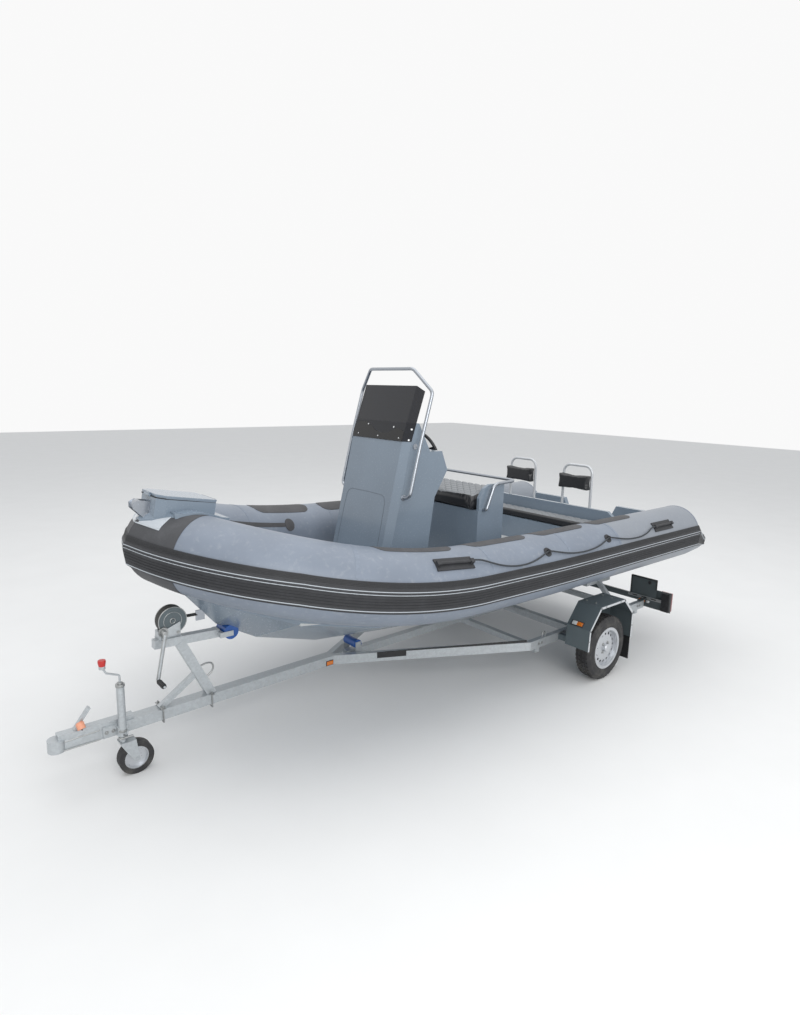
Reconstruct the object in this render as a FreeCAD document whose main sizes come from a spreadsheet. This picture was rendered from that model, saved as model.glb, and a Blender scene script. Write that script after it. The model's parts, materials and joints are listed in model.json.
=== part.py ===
import FreeCAD, Part
import math
import os
import Sketcher
from FreeCAD import Rotation, Vector

# Rigid inflatable boat on its single-axle road trailer.
# Axes: +X forward to the bow, +Y to port, +Z up, in millimetres.
# Shapes are drawn with x = 0 at the trailer's axle, y = 0 on the centreline and z = 0 on the ground.
# Each finished piece is then placed so that the origin is under the middle of the overall length.

os.makedirs("parts", exist_ok=True)
doc = FreeCAD.newDocument("rib_on_trailer")

# Driving dimensions: name, value, what it is.
SIZES = [
    ("tyre_radius", 281, "road wheel tyre, 145/80 R13"),
    ("tyre_width", 150, "width of the tyre"),
    ("tyre_corner", 28, "rounding of the tyre's shoulders"),
    ("rim_radius", 165, "bead seat radius of the 13 inch rim"),
    ("rim_flange", 182, "outer radius of the rim's flange"),
    ("rim_wall", 7, "thickness of the rim's barrel"),
    ("rim_dish", 40, "how far the disc lies inside the rim's outer edge"),
    ("rim_vents", 16, "number of vent holes"),
    ("vent_radius", 12, "radius of a vent hole"),
    ("vent_circle", 124, "radius of the circle of vent holes"),
    ("rim_plate", 102, "radius of the raised plate in the middle of the disc"),
    ("hub_radius", 62, "radius of the wheel hub"),
    ("hub_bore", 30, "radius of the wheel's bearing bore"),
    ("wheel_y", 1095, "wheel centre from the centreline"),
    ("running_gap", 0.3, "clearance where one piece turns on another, along the axis"),
    ("bearing_gap", 0.05, "clearance of a turning bore on its pin, on the radius"),
    ("soft_gap", 0.3, "clearance of a soft piece to what carries it"),
    ("axle_size", 60, "side of the square axle tube"),
    ("axle_y", 850, "half length of the axle tube"),
    ("arm_width", 46, "width of the trailing arm"),
    ("rail_width", 44, "width of a frame rail"),
    ("rail_height", 72, "height of a frame rail"),
    ("rail_front_x", 3760, "front end of the two rails"),
    ("rail_bend_x", 2060, "where the rails part"),
    ("rail_side_x", 640, "where the rails run parallel again"),
    ("rail_side_y", 828, "rail centre from the centreline beside the wheels"),
    ("rail_rear_x", 1150, "rear end of the rails, behind the axle"),
    ("rail_front_z", 302, "centre height of the rails at the front"),
    ("rail_bend_z", 328, "centre height of the rails where they part"),
    ("rail_rear_z", 352, "centre height of the rails beside the wheels"),
    ("keel_beam_width", 60, "width of the middle beam"),
    ("keel_beam_height", 60, "height of the middle beam"),
    ("keel_beam_rear", 1080, "rear end of the middle beam, behind the axle"),
    ("cross_size", 50, "side of a square cross member"),
    ("cross_front_x", 520, "front cross member, ahead of the axle"),
    ("cross_rear_x", 1050, "rear cross member, behind the axle"),
    ("guard_outer_y", 1185, "outer edge of the mudguard"),
    ("guard_inner_y", 960, "inner edge of the mudguard"),
    ("guard_top_z", 686, "top of the mudguard"),
    ("guard_sheet", 4, "thickness of the mudguard's sheet"),
    ("guard_front_x", 325, "front face of the mudguard, ahead of the axle"),
    ("guard_rear_x", 345, "rear face of the mudguard, behind the axle"),
    ("guard_front_z", 335, "lower front edge of the mudguard"),
    ("guard_rear_z", 305, "lower rear edge of the mudguard"),
    ("guard_corner", 150, "how far the sloping corner facets reach along and down"),
    ("guard_lip", 17, "depth of the lip round the mudguard's outer edge"),
    ("flap_low_z", 95, "lower edge of the mud flap"),
    ("flap_sheet", 6, "thickness of the mud flap"),
    ("coupling_nose_x", 4060, "front of the ball coupling"),
    ("coupling_width", 62, "width of the coupling's body"),
    ("coupling_z", 292, "centre height of the coupling"),
    ("ball_radius", 25.2, "radius of the ball socket, for a 50 mm ball"),
    ("jockey_x", 3655, "upright of the jockey wheel"),
    ("jockey_y", 74, "upright of the jockey wheel, to port of the centreline"),
    ("jockey_tube_radius", 24, "outer tube of the jockey stand"),
    ("jockey_tube_top", 600, "top of the outer tube"),
    ("jockey_tube_low", 250, "lower end of the outer tube"),
    ("jockey_leg_radius", 20, "inner tube of the jockey stand"),
    ("jockey_wheel_radius", 106, "radius of the jockey wheel"),
    ("jockey_wheel_width", 62, "width of the jockey wheel"),
    ("jockey_trail", 68, "how far the jockey wheel's axle trails behind its upright"),
    ("jockey_pin", 8, "radius of the jockey wheel's axle pin"),
    ("post_foot_x", 3050, "foot of the winch post"),
    ("post_top_x", 3255, "top of the winch post"),
    ("post_top_z", 765, "top of the winch post"),
    ("post_size", 62, "side of the winch post"),
    ("brace_foot_x", 3400, "foot of the post's brace"),
    ("brace_size", 36, "side of the brace"),
    ("arm_front_x", 3420, "front end of the winch arm"),
    ("arm_rear_x", 2985, "rear end of the winch arm"),
    ("arm_z", 785, "centre height of the winch arm at the post"),
    ("arm_size", 56, "side of the winch arm"),
    ("drum_x", 3300, "winch drum"),
    ("drum_z", 915, "height of the winch drum's axis"),
    ("drum_radius", 92, "radius of the wound drum"),
    ("drum_width", 58, "length of the wound drum"),
    ("bow_stop_x", 2915, "roller that the stem rests against"),
    ("bow_stop_z", 770, "height of that roller's axis"),
    ("bow_stop_radius", 52, "radius of that roller"),
    ("roller_length", 150, "length of a keel roller"),
    ("keel_roller_x", 1850, "front keel roller"),
    ("keel_roller_radius", 36, "radius of a keel roller"),
    ("rear_roller_x", 1060, "rear keel roller, behind the axle"),
    ("keel_z", 452, "lowest line of the hull"),
    ("transom_x", 1350, "transom, behind the axle"),
    ("transom_sheet", 55, "thickness of the transom"),
    ("transom_top", 1120, "top of the transom's engine cut-out"),
    ("chine_y", 800, "chine from the centreline"),
    ("chine_z", 800, "height of the chine"),
    ("flange_y", 880, "hull flange under the tube"),
    ("flange_z", 925, "height of that flange"),
    ("deck_z", 950, "upper face of the deck"),
    ("tube_radius", 250, "radius of the inflated tube"),
    ("tube_y", 960, "tube centreline from the boat's centreline"),
    ("tube_z", 1100, "height of the tube's centre"),
    ("tube_rear", 1400, "start of the tail cone, behind the axle"),
    ("tail_length", 384, "length of the tail cone"),
    ("tail_radius", 120, "radius of the tail's domed end"),
    ("tail_drop", 128, "how far the tail's end lies below the tube's centre"),
    ("sheer_x", 800, "where the tube starts to rise"),
    ("shoulder_x", 2196, "where the tube turns in to the bow"),
    ("shoulder_z", 1135, "height of the tube's centre there"),
    ("bow_eye_x", 3105, "bow eye on the stem"),
    ("bow_corner_x", 3160, "corner of the tube's route beside the bow"),
    ("bow_corner_y", 520, "that corner from the centreline"),
    ("bow_corner_z", 1385, "height of that corner"),
    ("nose_x", 3296, "tube centre at the bow, where both sides meet"),
    ("nose_z", 1420, "height of the tube's centre at the bow"),
    ("strake_sheet", 16, "thickness of the rubbing strake at its fender"),
    ("strake_band", 7, "thickness of the strake's flat edges"),
    ("strake_up", 22, "upper edge of the strake above the tube's middle, in degrees"),
    ("strake_down", 25, "lower edge of the strake below the tube's middle, in degrees"),
    ("fender_up", 11, "upper edge of the strake's fender, in degrees"),
    ("fender_down", 22, "lower edge of the strake's fender, in degrees"),
    ("step_rear_x", 3000, "rear edge of the bow step"),
    ("step_half", 300, "half width of the bow step at the rear"),
    ("step_tilt", 9.5, "slope of the bow step down to the rear, in degrees"),
    ("saddle_sheet", 12, "thickness of the bow step's skirt over the tubes"),
    ("locker_half", 170, "half width of the bow locker"),
    ("locker_chamfer", 50, "how far the locker's front corners are cut back"),
    ("locker_front_x", 3400, "front face of the bow locker"),
    ("locker_top", 1762, "top of the bow locker"),
    ("locker_wall", 6, "wall of the bow locker"),
    ("lid_sheet", 10, "thickness of the locker's lid"),
    ("lid_pin", 5, "radius of the lid's hinge pin"),
    ("console_half", 360, "half width of the console"),
    ("console_crease", 310, "half width of the console's front panel"),
    ("console_chamfer", 50, "how far the console's front corners are cut back"),
    ("console_front_low", 1880, "foot of the console's front panel"),
    ("console_front_top", 1640, "front panel where the windscreen starts"),
    ("console_knee", 2040, "height where the windscreen starts"),
    ("console_top", 2175, "height of the console's top"),
    ("console_rear_top", 1518, "rear edge of the console's top"),
    ("console_wall", 8, "wall of the console"),
    ("notch_x", 1272, "rear corner of the dash"),
    ("notch_z", 1958, "height of the dash shelf"),
    ("notch_depth", 125, "depth of the dash shelf"),
    ("peak_x", 1207, "rearmost corner of the console"),
    ("peak_z", 1807, "height of that corner"),
    ("waist_x", 1335, "waist of the console below the dash"),
    ("waist_z", 1600, "height of the waist"),
    ("console_rear_low", 1425, "foot of the console's rear panel"),
    ("screen_rise", 410, "height of the windscreen above its foot"),
    ("screen_top_x", 1505, "front of the windscreen's top"),
    ("screen_sheet", 5, "thickness of the windscreen"),
    ("rail_tube", 13, "radius of the stainless hand rail"),
    ("console_rail_half", 430, "half width of the console rail"),
    ("console_rail_top", 2575, "height of the console rail"),
    ("hoop_corner", 170, "how far the console rail's shoulders are cut off across"),
    ("hoop_foot_x", 1658, "foot of the console rail"),
    ("hoop_foot_z", 1625, "height of that foot"),
    ("hoop_middle_x", 1560, "console rail half way up"),
    ("hoop_middle_z", 2033, "height of that place"),
    ("hoop_shoulder_x", 1456, "shoulder of the console rail"),
    ("hoop_shoulder_z", 2408, "height of that shoulder"),
    ("hoop_top_x", 1505, "top bar of the console rail"),
    ("helm_reach", 95, "how far the steering wheel stands off the dash"),
    ("helm_radius", 175, "radius of the steering wheel"),
    ("helm_rim", 13, "radius of the wheel rim's section"),
    ("seat_front", 930, "front face of the helm seat"),
    ("seat_rear", 620, "rear face of the helm seat"),
    ("seat_half", 450, "half width of the helm seat"),
    ("seat_panel", 26, "thickness of the helm seat's side panels"),
    ("seat_z", 1460, "top of the helm seat's box"),
    ("seat_panel_top", 1670, "top of the side panels"),
    ("seat_cushion", 88, "thickness of the helm seat's cushion at the front"),
    ("seat_rise", 92, "how much thicker that cushion is at the rear"),
    ("seat_overhang", 45, "how far the cushion stands out over the box"),
    ("bench_front", 300, "front face of the aft bench, behind the axle"),
    ("bulkhead_x", 600, "bulkhead behind the aft bench, behind the axle"),
    ("bulkhead_sheet", 40, "thickness of the bulkhead"),
    ("bulkhead_top", 1335, "top of the bulkhead"),
    ("bench_half", 700, "half width of the aft bench"),
    ("bench_z", 1165, "top of the aft bench's box"),
    ("bench_cushion", 70, "thickness of the bench's cushion"),
    ("bench_wall", 20, "wall of the bench's box"),
    ("backrest_y", 335, "middle of a backrest from the centreline"),
    ("backrest_half", 160, "half width of a backrest's tube frame"),
    ("backrest_top", 1735, "top of a backrest's tube frame"),
    ("backrest_pad", 150, "height of a backrest's pad"),
    ("backrest_pad_sheet", 75, "thickness of a backrest's pad"),
    ("line_radius", 6, "radius of the grab line"),
    ("board_x", 1215, "light board, behind the axle"),
    ("board_half", 1010, "half length of the light board"),
    ("board_z", 385, "centre height of the light board"),
    ("board_height", 56, "height of the light board's bar"),
    ("board_sheet", 22, "thickness of the light board's bar"),
    ("panel_sheet", 4, "thickness of the plates on the light board"),
    ("panel_inner", 750, "inner edge of the lamp plate from the centreline"),
    ("panel_outer", 1085, "outer edge of the lamp plate"),
    ("panel_low", 300, "lower edge of the lamp plate"),
    ("panel_high", 500, "upper edge of the lamp plate"),
    ("lamp_length", 110, "width of a tail lamp"),
    ("support_x", 700, "hull side support, behind the axle"),
    ("support_pad_z", 720, "top of the hull side support's pad"),
]


class Size:
    """A length, angle or count: its formula over the sheet's cells, and its value."""

    def __init__(self, text, value):
        self.text = text
        self.value = value

    def __add__(self, other):
        other = as_size(other)
        return Size("(%s + %s)" % (self.text, other.text), self.value + other.value)

    def __radd__(self, other):
        return as_size(other) + self

    def __sub__(self, other):
        other = as_size(other)
        return Size("(%s - %s)" % (self.text, other.text), self.value - other.value)

    def __rsub__(self, other):
        return as_size(other) - self

    def __mul__(self, other):
        other = as_size(other)
        return Size("%s * %s" % (self.text, other.text), self.value * other.value)

    def __rmul__(self, other):
        return as_size(other) * self

    def __truediv__(self, other):
        other = as_size(other)
        return Size("(%s / %s)" % (self.text, other.text), self.value / other.value)

    def __neg__(self):
        return Size("(0 - %s)" % self.text, -self.value)

    def __float__(self):
        return float(self.value)


def as_size(number):
    if isinstance(number, Size):
        return number
    return Size("(%r)" % float(number), float(number))


class Sheet:
    """The sheet's cells by their names."""


sheet = doc.addObject("Spreadsheet::Sheet", "Sizes")
S = Sheet()
for row, (alias, value, note) in enumerate(SIZES, 1):
    sheet.set("A%d" % row, alias)
    sheet.set("B%d" % row, str(value))
    sheet.set("C%d" % row, note)
    sheet.setAlias("B%d" % row, alias)
    setattr(S, alias, Size("Sizes." + alias, value))
doc.recompute()

PORT = 1
STARBOARD = -1
SIDES = (("port", PORT), ("starboard", STARBOARD))
NODES = []


def bind(thing, prop, amount):
    """Ties a property to its formula over the sheet."""
    thing.setExpression(prop, as_size(amount).text)


def place(thing, x, y, z):
    bind(thing, "Placement.Base.x", x)
    bind(thing, "Placement.Base.y", y)
    bind(thing, "Placement.Base.z", z)


def block(name, xs, ys, zs):
    """A box between two x, two y and two z values, the lower one first."""
    thing = doc.addObject("Part::Box", name)
    bind(thing, "Length", as_size(xs[1]) - xs[0])
    bind(thing, "Width", as_size(ys[1]) - ys[0])
    bind(thing, "Height", as_size(zs[1]) - zs[0])
    place(thing, xs[0], ys[0], zs[0])
    return thing


TURNS = {
    "x": Rotation(Vector(0, 1, 0), 90),
    "y": Rotation(Vector(1, 0, 0), -90),
    "z": Rotation(),
}


def disc(name, axis, radius, start, length):
    """A cylinder from its start point along +X, +Y or +Z."""
    thing = doc.addObject("Part::Cylinder", name)
    bind(thing, "Radius", radius)
    bind(thing, "Height", length)
    thing.Placement = FreeCAD.Placement(Vector(), TURNS[axis])
    place(thing, *start)
    return thing


def ring(name, axis, outer, inner, start, length):
    """A hollow cylinder."""
    solid = disc(name + "_outer", axis, outer, start, length)
    hole = disc(name + "_bore", axis, inner, start, length)
    return cut(name, solid, hole)


def cut(name, base, *tools):
    thing = doc.addObject("Part::Cut", name)
    thing.Base = base
    thing.Tool = tools[0] if len(tools) == 1 else fuse(name + "_cutters", *tools)
    return thing


def fuse(name, *pieces):
    thing = doc.addObject("Part::MultiFuse", name)
    thing.Shapes = list(pieces)
    return thing


def group(name, *pieces):
    """Solids that don't touch, kept together."""
    thing = doc.addObject("Part::Compound", name)
    thing.Links = list(pieces)
    return thing


def shape(name, solid):
    """A piece whose form is worked out below from the sheet's sizes."""
    thing = doc.addObject("Part::Feature", name)
    thing.Shape = solid
    return thing


PLANES = {"xy": "XY_Plane", "xz": "XZ_Plane", "yz": "YZ_Plane"}


def outline(name, plane, corners, start, end, holes=()):
    """A sheet piece: an outline drawn in a plane, padded between two places on that plane's axis."""
    body = doc.addObject("PartDesign::Body", name + "_body")
    origin = [part for part in body.Origin.OriginFeatures if part.Role == PLANES[plane]][0]
    sketch = body.newObject("Sketcher::SketchObject", name + "_sketch")
    sketch.AttachmentSupport = [(origin, "")]
    sketch.MapMode = "FlatFace"
    for loop in (corners,) + tuple(holes):
        draw_loop(sketch, loop)
    offset = -as_size(end) if plane == "xz" else as_size(start)
    bind(sketch, "AttachmentOffset.Base.z", offset)
    pad = body.newObject("PartDesign::Pad", name + "_pad")
    pad.Profile = sketch
    bind(pad, "Length", as_size(end) - start)
    body.Tip = pad
    return body


def draw_loop(sketch, corners):
    """A closed loop of straight lines, each corner tied to the sheet."""
    first = sketch.GeometryCount
    count = len(corners)
    points = [Vector(float(across), float(up), 0) for across, up in corners]
    for number in range(count):
        sketch.addGeometry(Part.LineSegment(points[number], points[(number + 1) % count]), False)
    for number in range(count):
        line = first + number
        following = first + (number + 1) % count
        sketch.addConstraint(Sketcher.Constraint("Coincident", line, 2, following, 1))
    for number, (across, up) in enumerate(corners):
        for kind, amount in (("DistanceX", across), ("DistanceY", up)):
            distance = Sketcher.Constraint(kind, -1, 1, first + number, 1, float(amount))
            index = sketch.addConstraint(distance)
            if isinstance(amount, Size):
                sketch.setExpression("Constraints[%d]" % index, amount.text)


def points_of(route):
    return [Vector(*[float(number) for number in point]) for point in route]


def beam(name, route, width, height, upright=Vector(0, 0, 1)):
    """A straight or bent bar of rectangular section, mitred at its bends."""
    points = points_of(route)
    half_width = float(width) / 2
    half_height = float(height) / 2
    runs = [(b - a).normalize() for a, b in zip(points, points[1:])]
    sections = []
    for number, point in enumerate(points):
        before = runs[max(number - 1, 0)]
        after = runs[min(number, len(runs) - 1)]
        along = (before + after).normalize()
        side = upright.cross(along).normalize()
        up = upright if len(points) > 2 else along.cross(side)
        side = side * (half_width / max(abs(side.dot(upright.cross(before).normalize())), 0.3))
        up = up * half_height
        corners = [point - side - up, point + side - up, point + side + up, point - side + up]
        sections.append(Part.makePolygon(corners + corners[:1]))
    return shape(name, Part.makeLoft(sections, True, True))


def rounded_route(points, bend, closed=False):
    """Straight runs joined by tangent arcs of one radius, as one wire."""
    edges = []
    count = len(points)
    corners = range(count) if closed else range(1, count - 1)
    starts = {}
    ends = {}
    for number in corners:
        point = points[number]
        back = (points[number - 1] - point).normalize()
        ahead = (points[(number + 1) % count] - point).normalize()
        turn = math.pi - back.getAngle(ahead)
        radius = bend[number] if isinstance(bend, (list, tuple)) else bend
        reach = radius * math.tan(turn / 2)
        middle = (back + ahead).normalize()
        depth = radius / math.cos(turn / 2) - radius
        starts[number] = point + back * reach
        ends[number] = point + ahead * reach
        edges.append((number, Part.Arc(starts[number], point + middle * depth, ends[number]).toShape()))
    wire = []
    arcs = dict(edges)
    total = count if closed else count - 1
    for number in range(total):
        following = (number + 1) % count
        begin = ends.get(number, points[number])
        finish = starts.get(following, points[following])
        if (finish - begin).Length > 0.001:
            wire.append(Part.LineSegment(begin, finish).toShape())
        if following in arcs:
            wire.append(arcs[following])
    return Part.Wire(wire)


def rod(name, route, radius, bend):
    """A round bar bent along a route."""
    return shape(name, rod_solid(points_of(route), float(radius), bend))


def rod_solid(points, radius, bend):
    path = rounded_route(points, bend)
    circle = Part.Wire(Part.makeCircle(radius, points[0], points[1] - points[0]))
    return path.makePipeShell([circle], True, True)


def closed_rod_solid(points, radius, bend):
    path = rounded_route(points, bend, True)
    start = path.Edges[0].Vertexes[0].Point
    along = path.Edges[0].tangentAt(path.Edges[0].FirstParameter)
    circle = Part.Wire(Part.makeCircle(radius, start, along))
    return path.makePipeShell([circle], True, True)


def node(name, *pieces, joined=False):
    """Finishes a sub-part: its pieces under one name, moved so that the origin is at mid length."""
    if joined:
        thing = fuse(name, *pieces)
    else:
        thing = group(name, *pieces)
    thing.Label = name
    bind(thing, "Placement.Base.x", -MIDDLE_X)
    NODES.append(thing)
    return thing


# The overall length runs from the strake round the tails to the coupling's nose.
TAIL_X = -S.tube_rear - S.tail_length - S.tail_radius - S.strake_sheet
MIDDLE_X = (S.coupling_nose_x + TAIL_X) / 2


# Inflated tubes and rubbing strakes

def tube_route(side):
    """The tube's centreline from the tail cone to a little past the bow's middle."""
    corner = Vector(float(S.bow_corner_x), side * float(S.bow_corner_y), float(S.bow_corner_z))
    nose = Vector(float(S.nose_x), 0, float(S.nose_z))
    return points_of([
        (-S.tube_rear, S.tube_y * side, S.tube_z),
        (S.sheer_x, S.tube_y * side, S.tube_z),
        (S.shoulder_x, S.tube_y * side, S.shoulder_z),
    ]) + [corner, nose + (nose - corner) * 0.35]


def tube_path(side):
    """The radii of the tube's bends: a long sheer, the shoulder and the bow's corner."""
    points = tube_route(side)
    bends = [0, 30000, 2550, 0, 0]
    back = (points[2] - points[3]).normalize()
    ahead = (points[4] - points[3]).normalize()
    half_turn = (math.pi - back.getAngle(ahead)) / 2
    nose = Vector(float(S.nose_x), 0, float(S.nose_z))
    bends[3] = 0.82 * (nose - points[3]).Length / math.tan(half_turn)
    return rounded_route(points, bends)


def own_side(solid, side):
    """Keeps the part of a swept piece on its own side of the centreline."""
    reach = 6000
    half_space = Part.makeBox(2 * reach, reach, reach, Vector(-reach, 0 if side > 0 else -reach, -reach / 2))
    return solid.common(half_space).Solids[0]


def swept_tube(side, radius):
    """Cylinders along the straight runs and turned pieces round the bends, up to the bow's middle."""
    pieces = []
    for edge in tube_path(side).Edges:
        low, high = edge.ParameterRange
        start = edge.valueAt(low)
        disc_face = Part.Face(Part.Wire(Part.makeCircle(radius, start, edge.tangentAt(low))))
        if edge.Curve.TypeId == "Part::GeomLine":
            pieces.append(disc_face.extrude(edge.valueAt(high) - start))
        else:
            pieces.append(disc_face.revolve(edge.Curve.Center, edge.Curve.Axis, math.degrees(high - low)))
    whole = pieces[0]
    for piece in pieces[1:]:
        whole = whole.fuse(piece)
    return own_side(whole.removeSplitter(), side)


def tail_centre(side):
    """The middle of the tail's domed end."""
    drop = Vector(-float(S.tail_length), 0, -float(S.tail_drop))
    return tube_route(side)[0] + drop


def tube_solid(side):
    """The swept tube with its tail cone, that runs down aft, and its domed end."""
    start = tube_route(side)[0]
    end = tail_centre(side)
    tip = float(S.tail_radius)
    rings = [Part.Wire(Part.makeCircle(radius, middle, Vector(1, 0, 0)))
             for radius, middle in ((float(S.tube_radius), start), (tip, end))]
    cone = Part.makeLoft(rings, True, True)
    behind = Part.makeBox(2 * tip, 4 * tip, 4 * tip, end - Vector(2 * tip, 2 * tip, 2 * tip))
    dome = Part.makeSphere(tip, end).common(behind)
    return swept_tube(side, float(S.tube_radius)).fuse([cone, dome]).Solids[0]


# The strake's section: degrees above the tube's middle and thickness, from its upper edge down.
STRAKE_SECTION = [
    (S.strake_up, S.strake_band), (S.fender_up + 1.5, S.strake_band), (S.fender_up, S.strake_sheet - 3),
    (S.fender_up - 1.5, S.strake_sheet), (3, S.strake_sheet), (2, S.strake_sheet - 4), (-16, S.strake_sheet - 4),
    (-17, S.strake_sheet), (-S.fender_down + 1.5, S.strake_sheet), (-S.fender_down, S.strake_sheet - 3),
    (-S.fender_down - 1, S.strake_band), (-S.strake_down, S.strake_band),
]


def strake_wire(centre, radius, side):
    """The strake's closed section round a centre: a stepped outer line and an arc on the tube."""

    def rim(distance, degrees):
        angle = math.radians(degrees)
        return centre + Vector(0, side * distance * math.cos(angle), distance * math.sin(angle))

    rows = [(float(degrees), float(thickness)) for degrees, thickness in STRAKE_SECTION]
    corners = [rim(radius + thickness, degrees) for degrees, thickness in rows]
    up = rows[0][0]
    down = rows[-1][0]
    edges = [Part.LineSegment(rim(radius, up), corners[0]).toShape()]
    edges += [Part.LineSegment(a, b).toShape() for a, b in zip(corners, corners[1:])]
    edges.append(Part.LineSegment(corners[-1], rim(radius, down)).toShape())
    edges.append(Part.Arc(rim(radius, down), rim(radius, (up + down) / 2), rim(radius, up)).toShape())
    return Part.Wire(edges)


def strake_solid(side):
    """The rubbing strake: along the outside of the tube, down the tail cone and round its end."""
    start = tube_route(side)[0]
    end = tail_centre(side)
    maker = Part.BRepOffsetAPI.MakePipeShell(tube_path(side))
    maker.setBiNormalMode(Vector(0, 0, 1))
    maker.add(strake_wire(start, float(S.tube_radius), side))
    maker.build()
    maker.makeSolid()
    along = own_side(maker.shape(), side)
    sections = [strake_wire(start, float(S.tube_radius), side), strake_wire(end, float(S.tail_radius), side)]
    cone = Part.makeLoft(sections, True, True)
    face = Part.Face(strake_wire(end, float(S.tail_radius), side))
    wrap = face.revolve(end, Vector(0, 0, side), 150)
    return along.fuse([cone, wrap])


tubes = {}
for word, side in SIDES:
    tubes[word] = shape("tube_form_" + word, tube_solid(side))
    node("tube_" + word, tubes[word])
    node("strake_" + word, shape("strake_form_" + word, strake_solid(side)))

# Hull, deck and transom

# Stations of the hull: x, keel height, chine y, chine height, flange y, flange height.
HULL_STATIONS = [
    (-S.transom_x, S.keel_z, S.chine_y, S.chine_z, S.flange_y, S.flange_z),
    (1620, S.keel_z, S.chine_y, S.chine_z, S.flange_y, S.flange_z),
    (2200, S.keel_z + 62, S.chine_y - 50, S.chine_z + 45, S.flange_y - 30, S.flange_z + 35),
    (2700, S.keel_z + 208, S.chine_y - 215, S.chine_z + 130, S.flange_y - 190, S.flange_z + 120),
    (3000, S.keel_z + 378, S.chine_y - 440, S.chine_z + 225, S.flange_y - 430, S.flange_z + 205),
    (3180, S.keel_z + 590, S.chine_y - 690, S.chine_z + 300, S.flange_y - 730, S.flange_z + 255),
    (3275, S.keel_z + 700, S.chine_y - 765, S.chine_z + 370, S.flange_y - 830, S.flange_z + 330),
]


def hull_solid():
    """The vee hull through its stations, flat on top at the flange's height."""
    sections = []
    for row in HULL_STATIONS:
        x, keel, chine_y, chine_z, flange_y, flange_z = [float(number) for number in row]
        right = [Vector(x, chine_y, chine_z), Vector(x, flange_y, flange_z)]
        left = [Vector(point.x, -point.y, point.z) for point in reversed(right)]
        corners = [Vector(x, 0, keel)] + right + left
        sections.append(Part.makePolygon(corners + corners[:1]))
    return Part.makeLoft(sections, True, True)


def clear_of_tubes(name, piece):
    """Trims a piece where the two tubes pass, one after the other."""
    for word, side in SIDES:
        piece = cut("%s_beside_%s_tube" % (name, word), piece, tubes[word])
    return piece


hull_form = shape("hull_form", hull_solid())
cockpit_well = block("cockpit_well", (-S.transom_x - 10, S.shoulder_x + 450), (-S.bench_half, S.bench_half),
                     (S.deck_z, S.deck_z + 250))
node("hull", clear_of_tubes("hull", cut("hull_below_cockpit", hull_form, cockpit_well)))

deck_outline = [
    (-S.transom_x, -S.flange_y), (S.shoulder_x - 300, -S.flange_y), (S.shoulder_x + 500, -S.flange_y + 280),
    (S.shoulder_x + 500, S.flange_y - 280), (S.shoulder_x - 300, S.flange_y), (-S.transom_x, S.flange_y),
]
deck_slab = outline("deck_slab", "xy", deck_outline, S.flange_z, S.deck_z)
node("deck", clear_of_tubes("deck", cut("deck_over_hull", deck_slab, hull_form)))

transom_corners = [
    (-S.chine_y, S.chine_z), (0, S.keel_z), (S.chine_y, S.chine_z), (S.chine_y, S.transom_top + 130),
    (330, S.transom_top + 130), (270, S.transom_top), (-270, S.transom_top),
    (-330, S.transom_top + 130), (-S.chine_y, S.transom_top + 130),
]
transom_form = outline("transom_form", "yz", transom_corners, -S.transom_x - S.transom_sheet, -S.transom_x)
node("transom", clear_of_tubes("transom", transom_form))

# Bow step with its locker, lid, anchor roller and fittings

step_z = S.nose_z + S.tube_radius + S.saddle_sheet
step_outline = [
    (S.step_rear_x, -S.step_half), (S.locker_front_x - 90, -S.step_half + 50), (S.locker_front_x + 30, -120),
    (S.locker_front_x + 75, -35), (S.locker_front_x + 75, 35), (S.locker_front_x + 30, 120),
    (S.locker_front_x - 90, S.step_half - 50), (S.step_rear_x, S.step_half),
]
# The lid's hinge lies along the locker's front edge, and the whole step is tipped down to the rear about it.
hinge_x = S.locker_front_x + 10
hinge_z = S.locker_top - 6


def tipped(thing):
    """Tips a level piece of the bow step about the hinge."""
    pivot = Vector(float(hinge_x), 0, float(hinge_z))
    thing.Placement = FreeCAD.Placement(Vector(), Rotation(Vector(0, 1, 0), -float(S.step_tilt)), pivot)
    return thing


step_slab = outline("step_slab", "xy", step_outline, S.nose_z + 130, step_z)
step_reach = outline("step_reach", "xy", step_outline, S.nose_z + 80, step_z + 1)
skirts = []
for word, side in SIDES:
    skirt_form = shape("skirt_form_" + word, swept_tube(side, float(S.tube_radius + S.saddle_sheet)))
    skirt = doc.addObject("Part::Common", "skirt_" + word)
    skirt.Base = skirt_form
    skirt.Tool = step_reach
    skirts.append(skirt)
front_cut = block("step_front_cut", (S.nose_x + 40, S.locker_front_x + 120), (-S.step_half, S.step_half),
                  (S.nose_z, step_z + 40))
step_base = fuse("step_base", cut("step_slab_rear", tipped(step_slab), front_cut), *skirts)


def locker_outline(spread):
    """The locker seen from above, its front corners cut off, grown by a margin."""
    half = S.locker_half + spread
    front = S.locker_front_x + spread
    rear = S.step_rear_x + 40 - spread
    cheek = half - S.locker_chamfer
    return [(rear, -half), (front - S.locker_chamfer, -half), (front, -cheek), (front, cheek),
            (front - S.locker_chamfer, half), (rear, half)]


locker_box = outline("locker_box", "xy", locker_outline(0), step_z - 6, S.locker_top)
locker_foot = outline("locker_foot", "xy", locker_outline(0), S.nose_z + 130, step_z)
locker_hollow = outline("locker_hollow", "xy", locker_outline(-S.locker_wall), step_z + 14, S.locker_top + 1)
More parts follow.
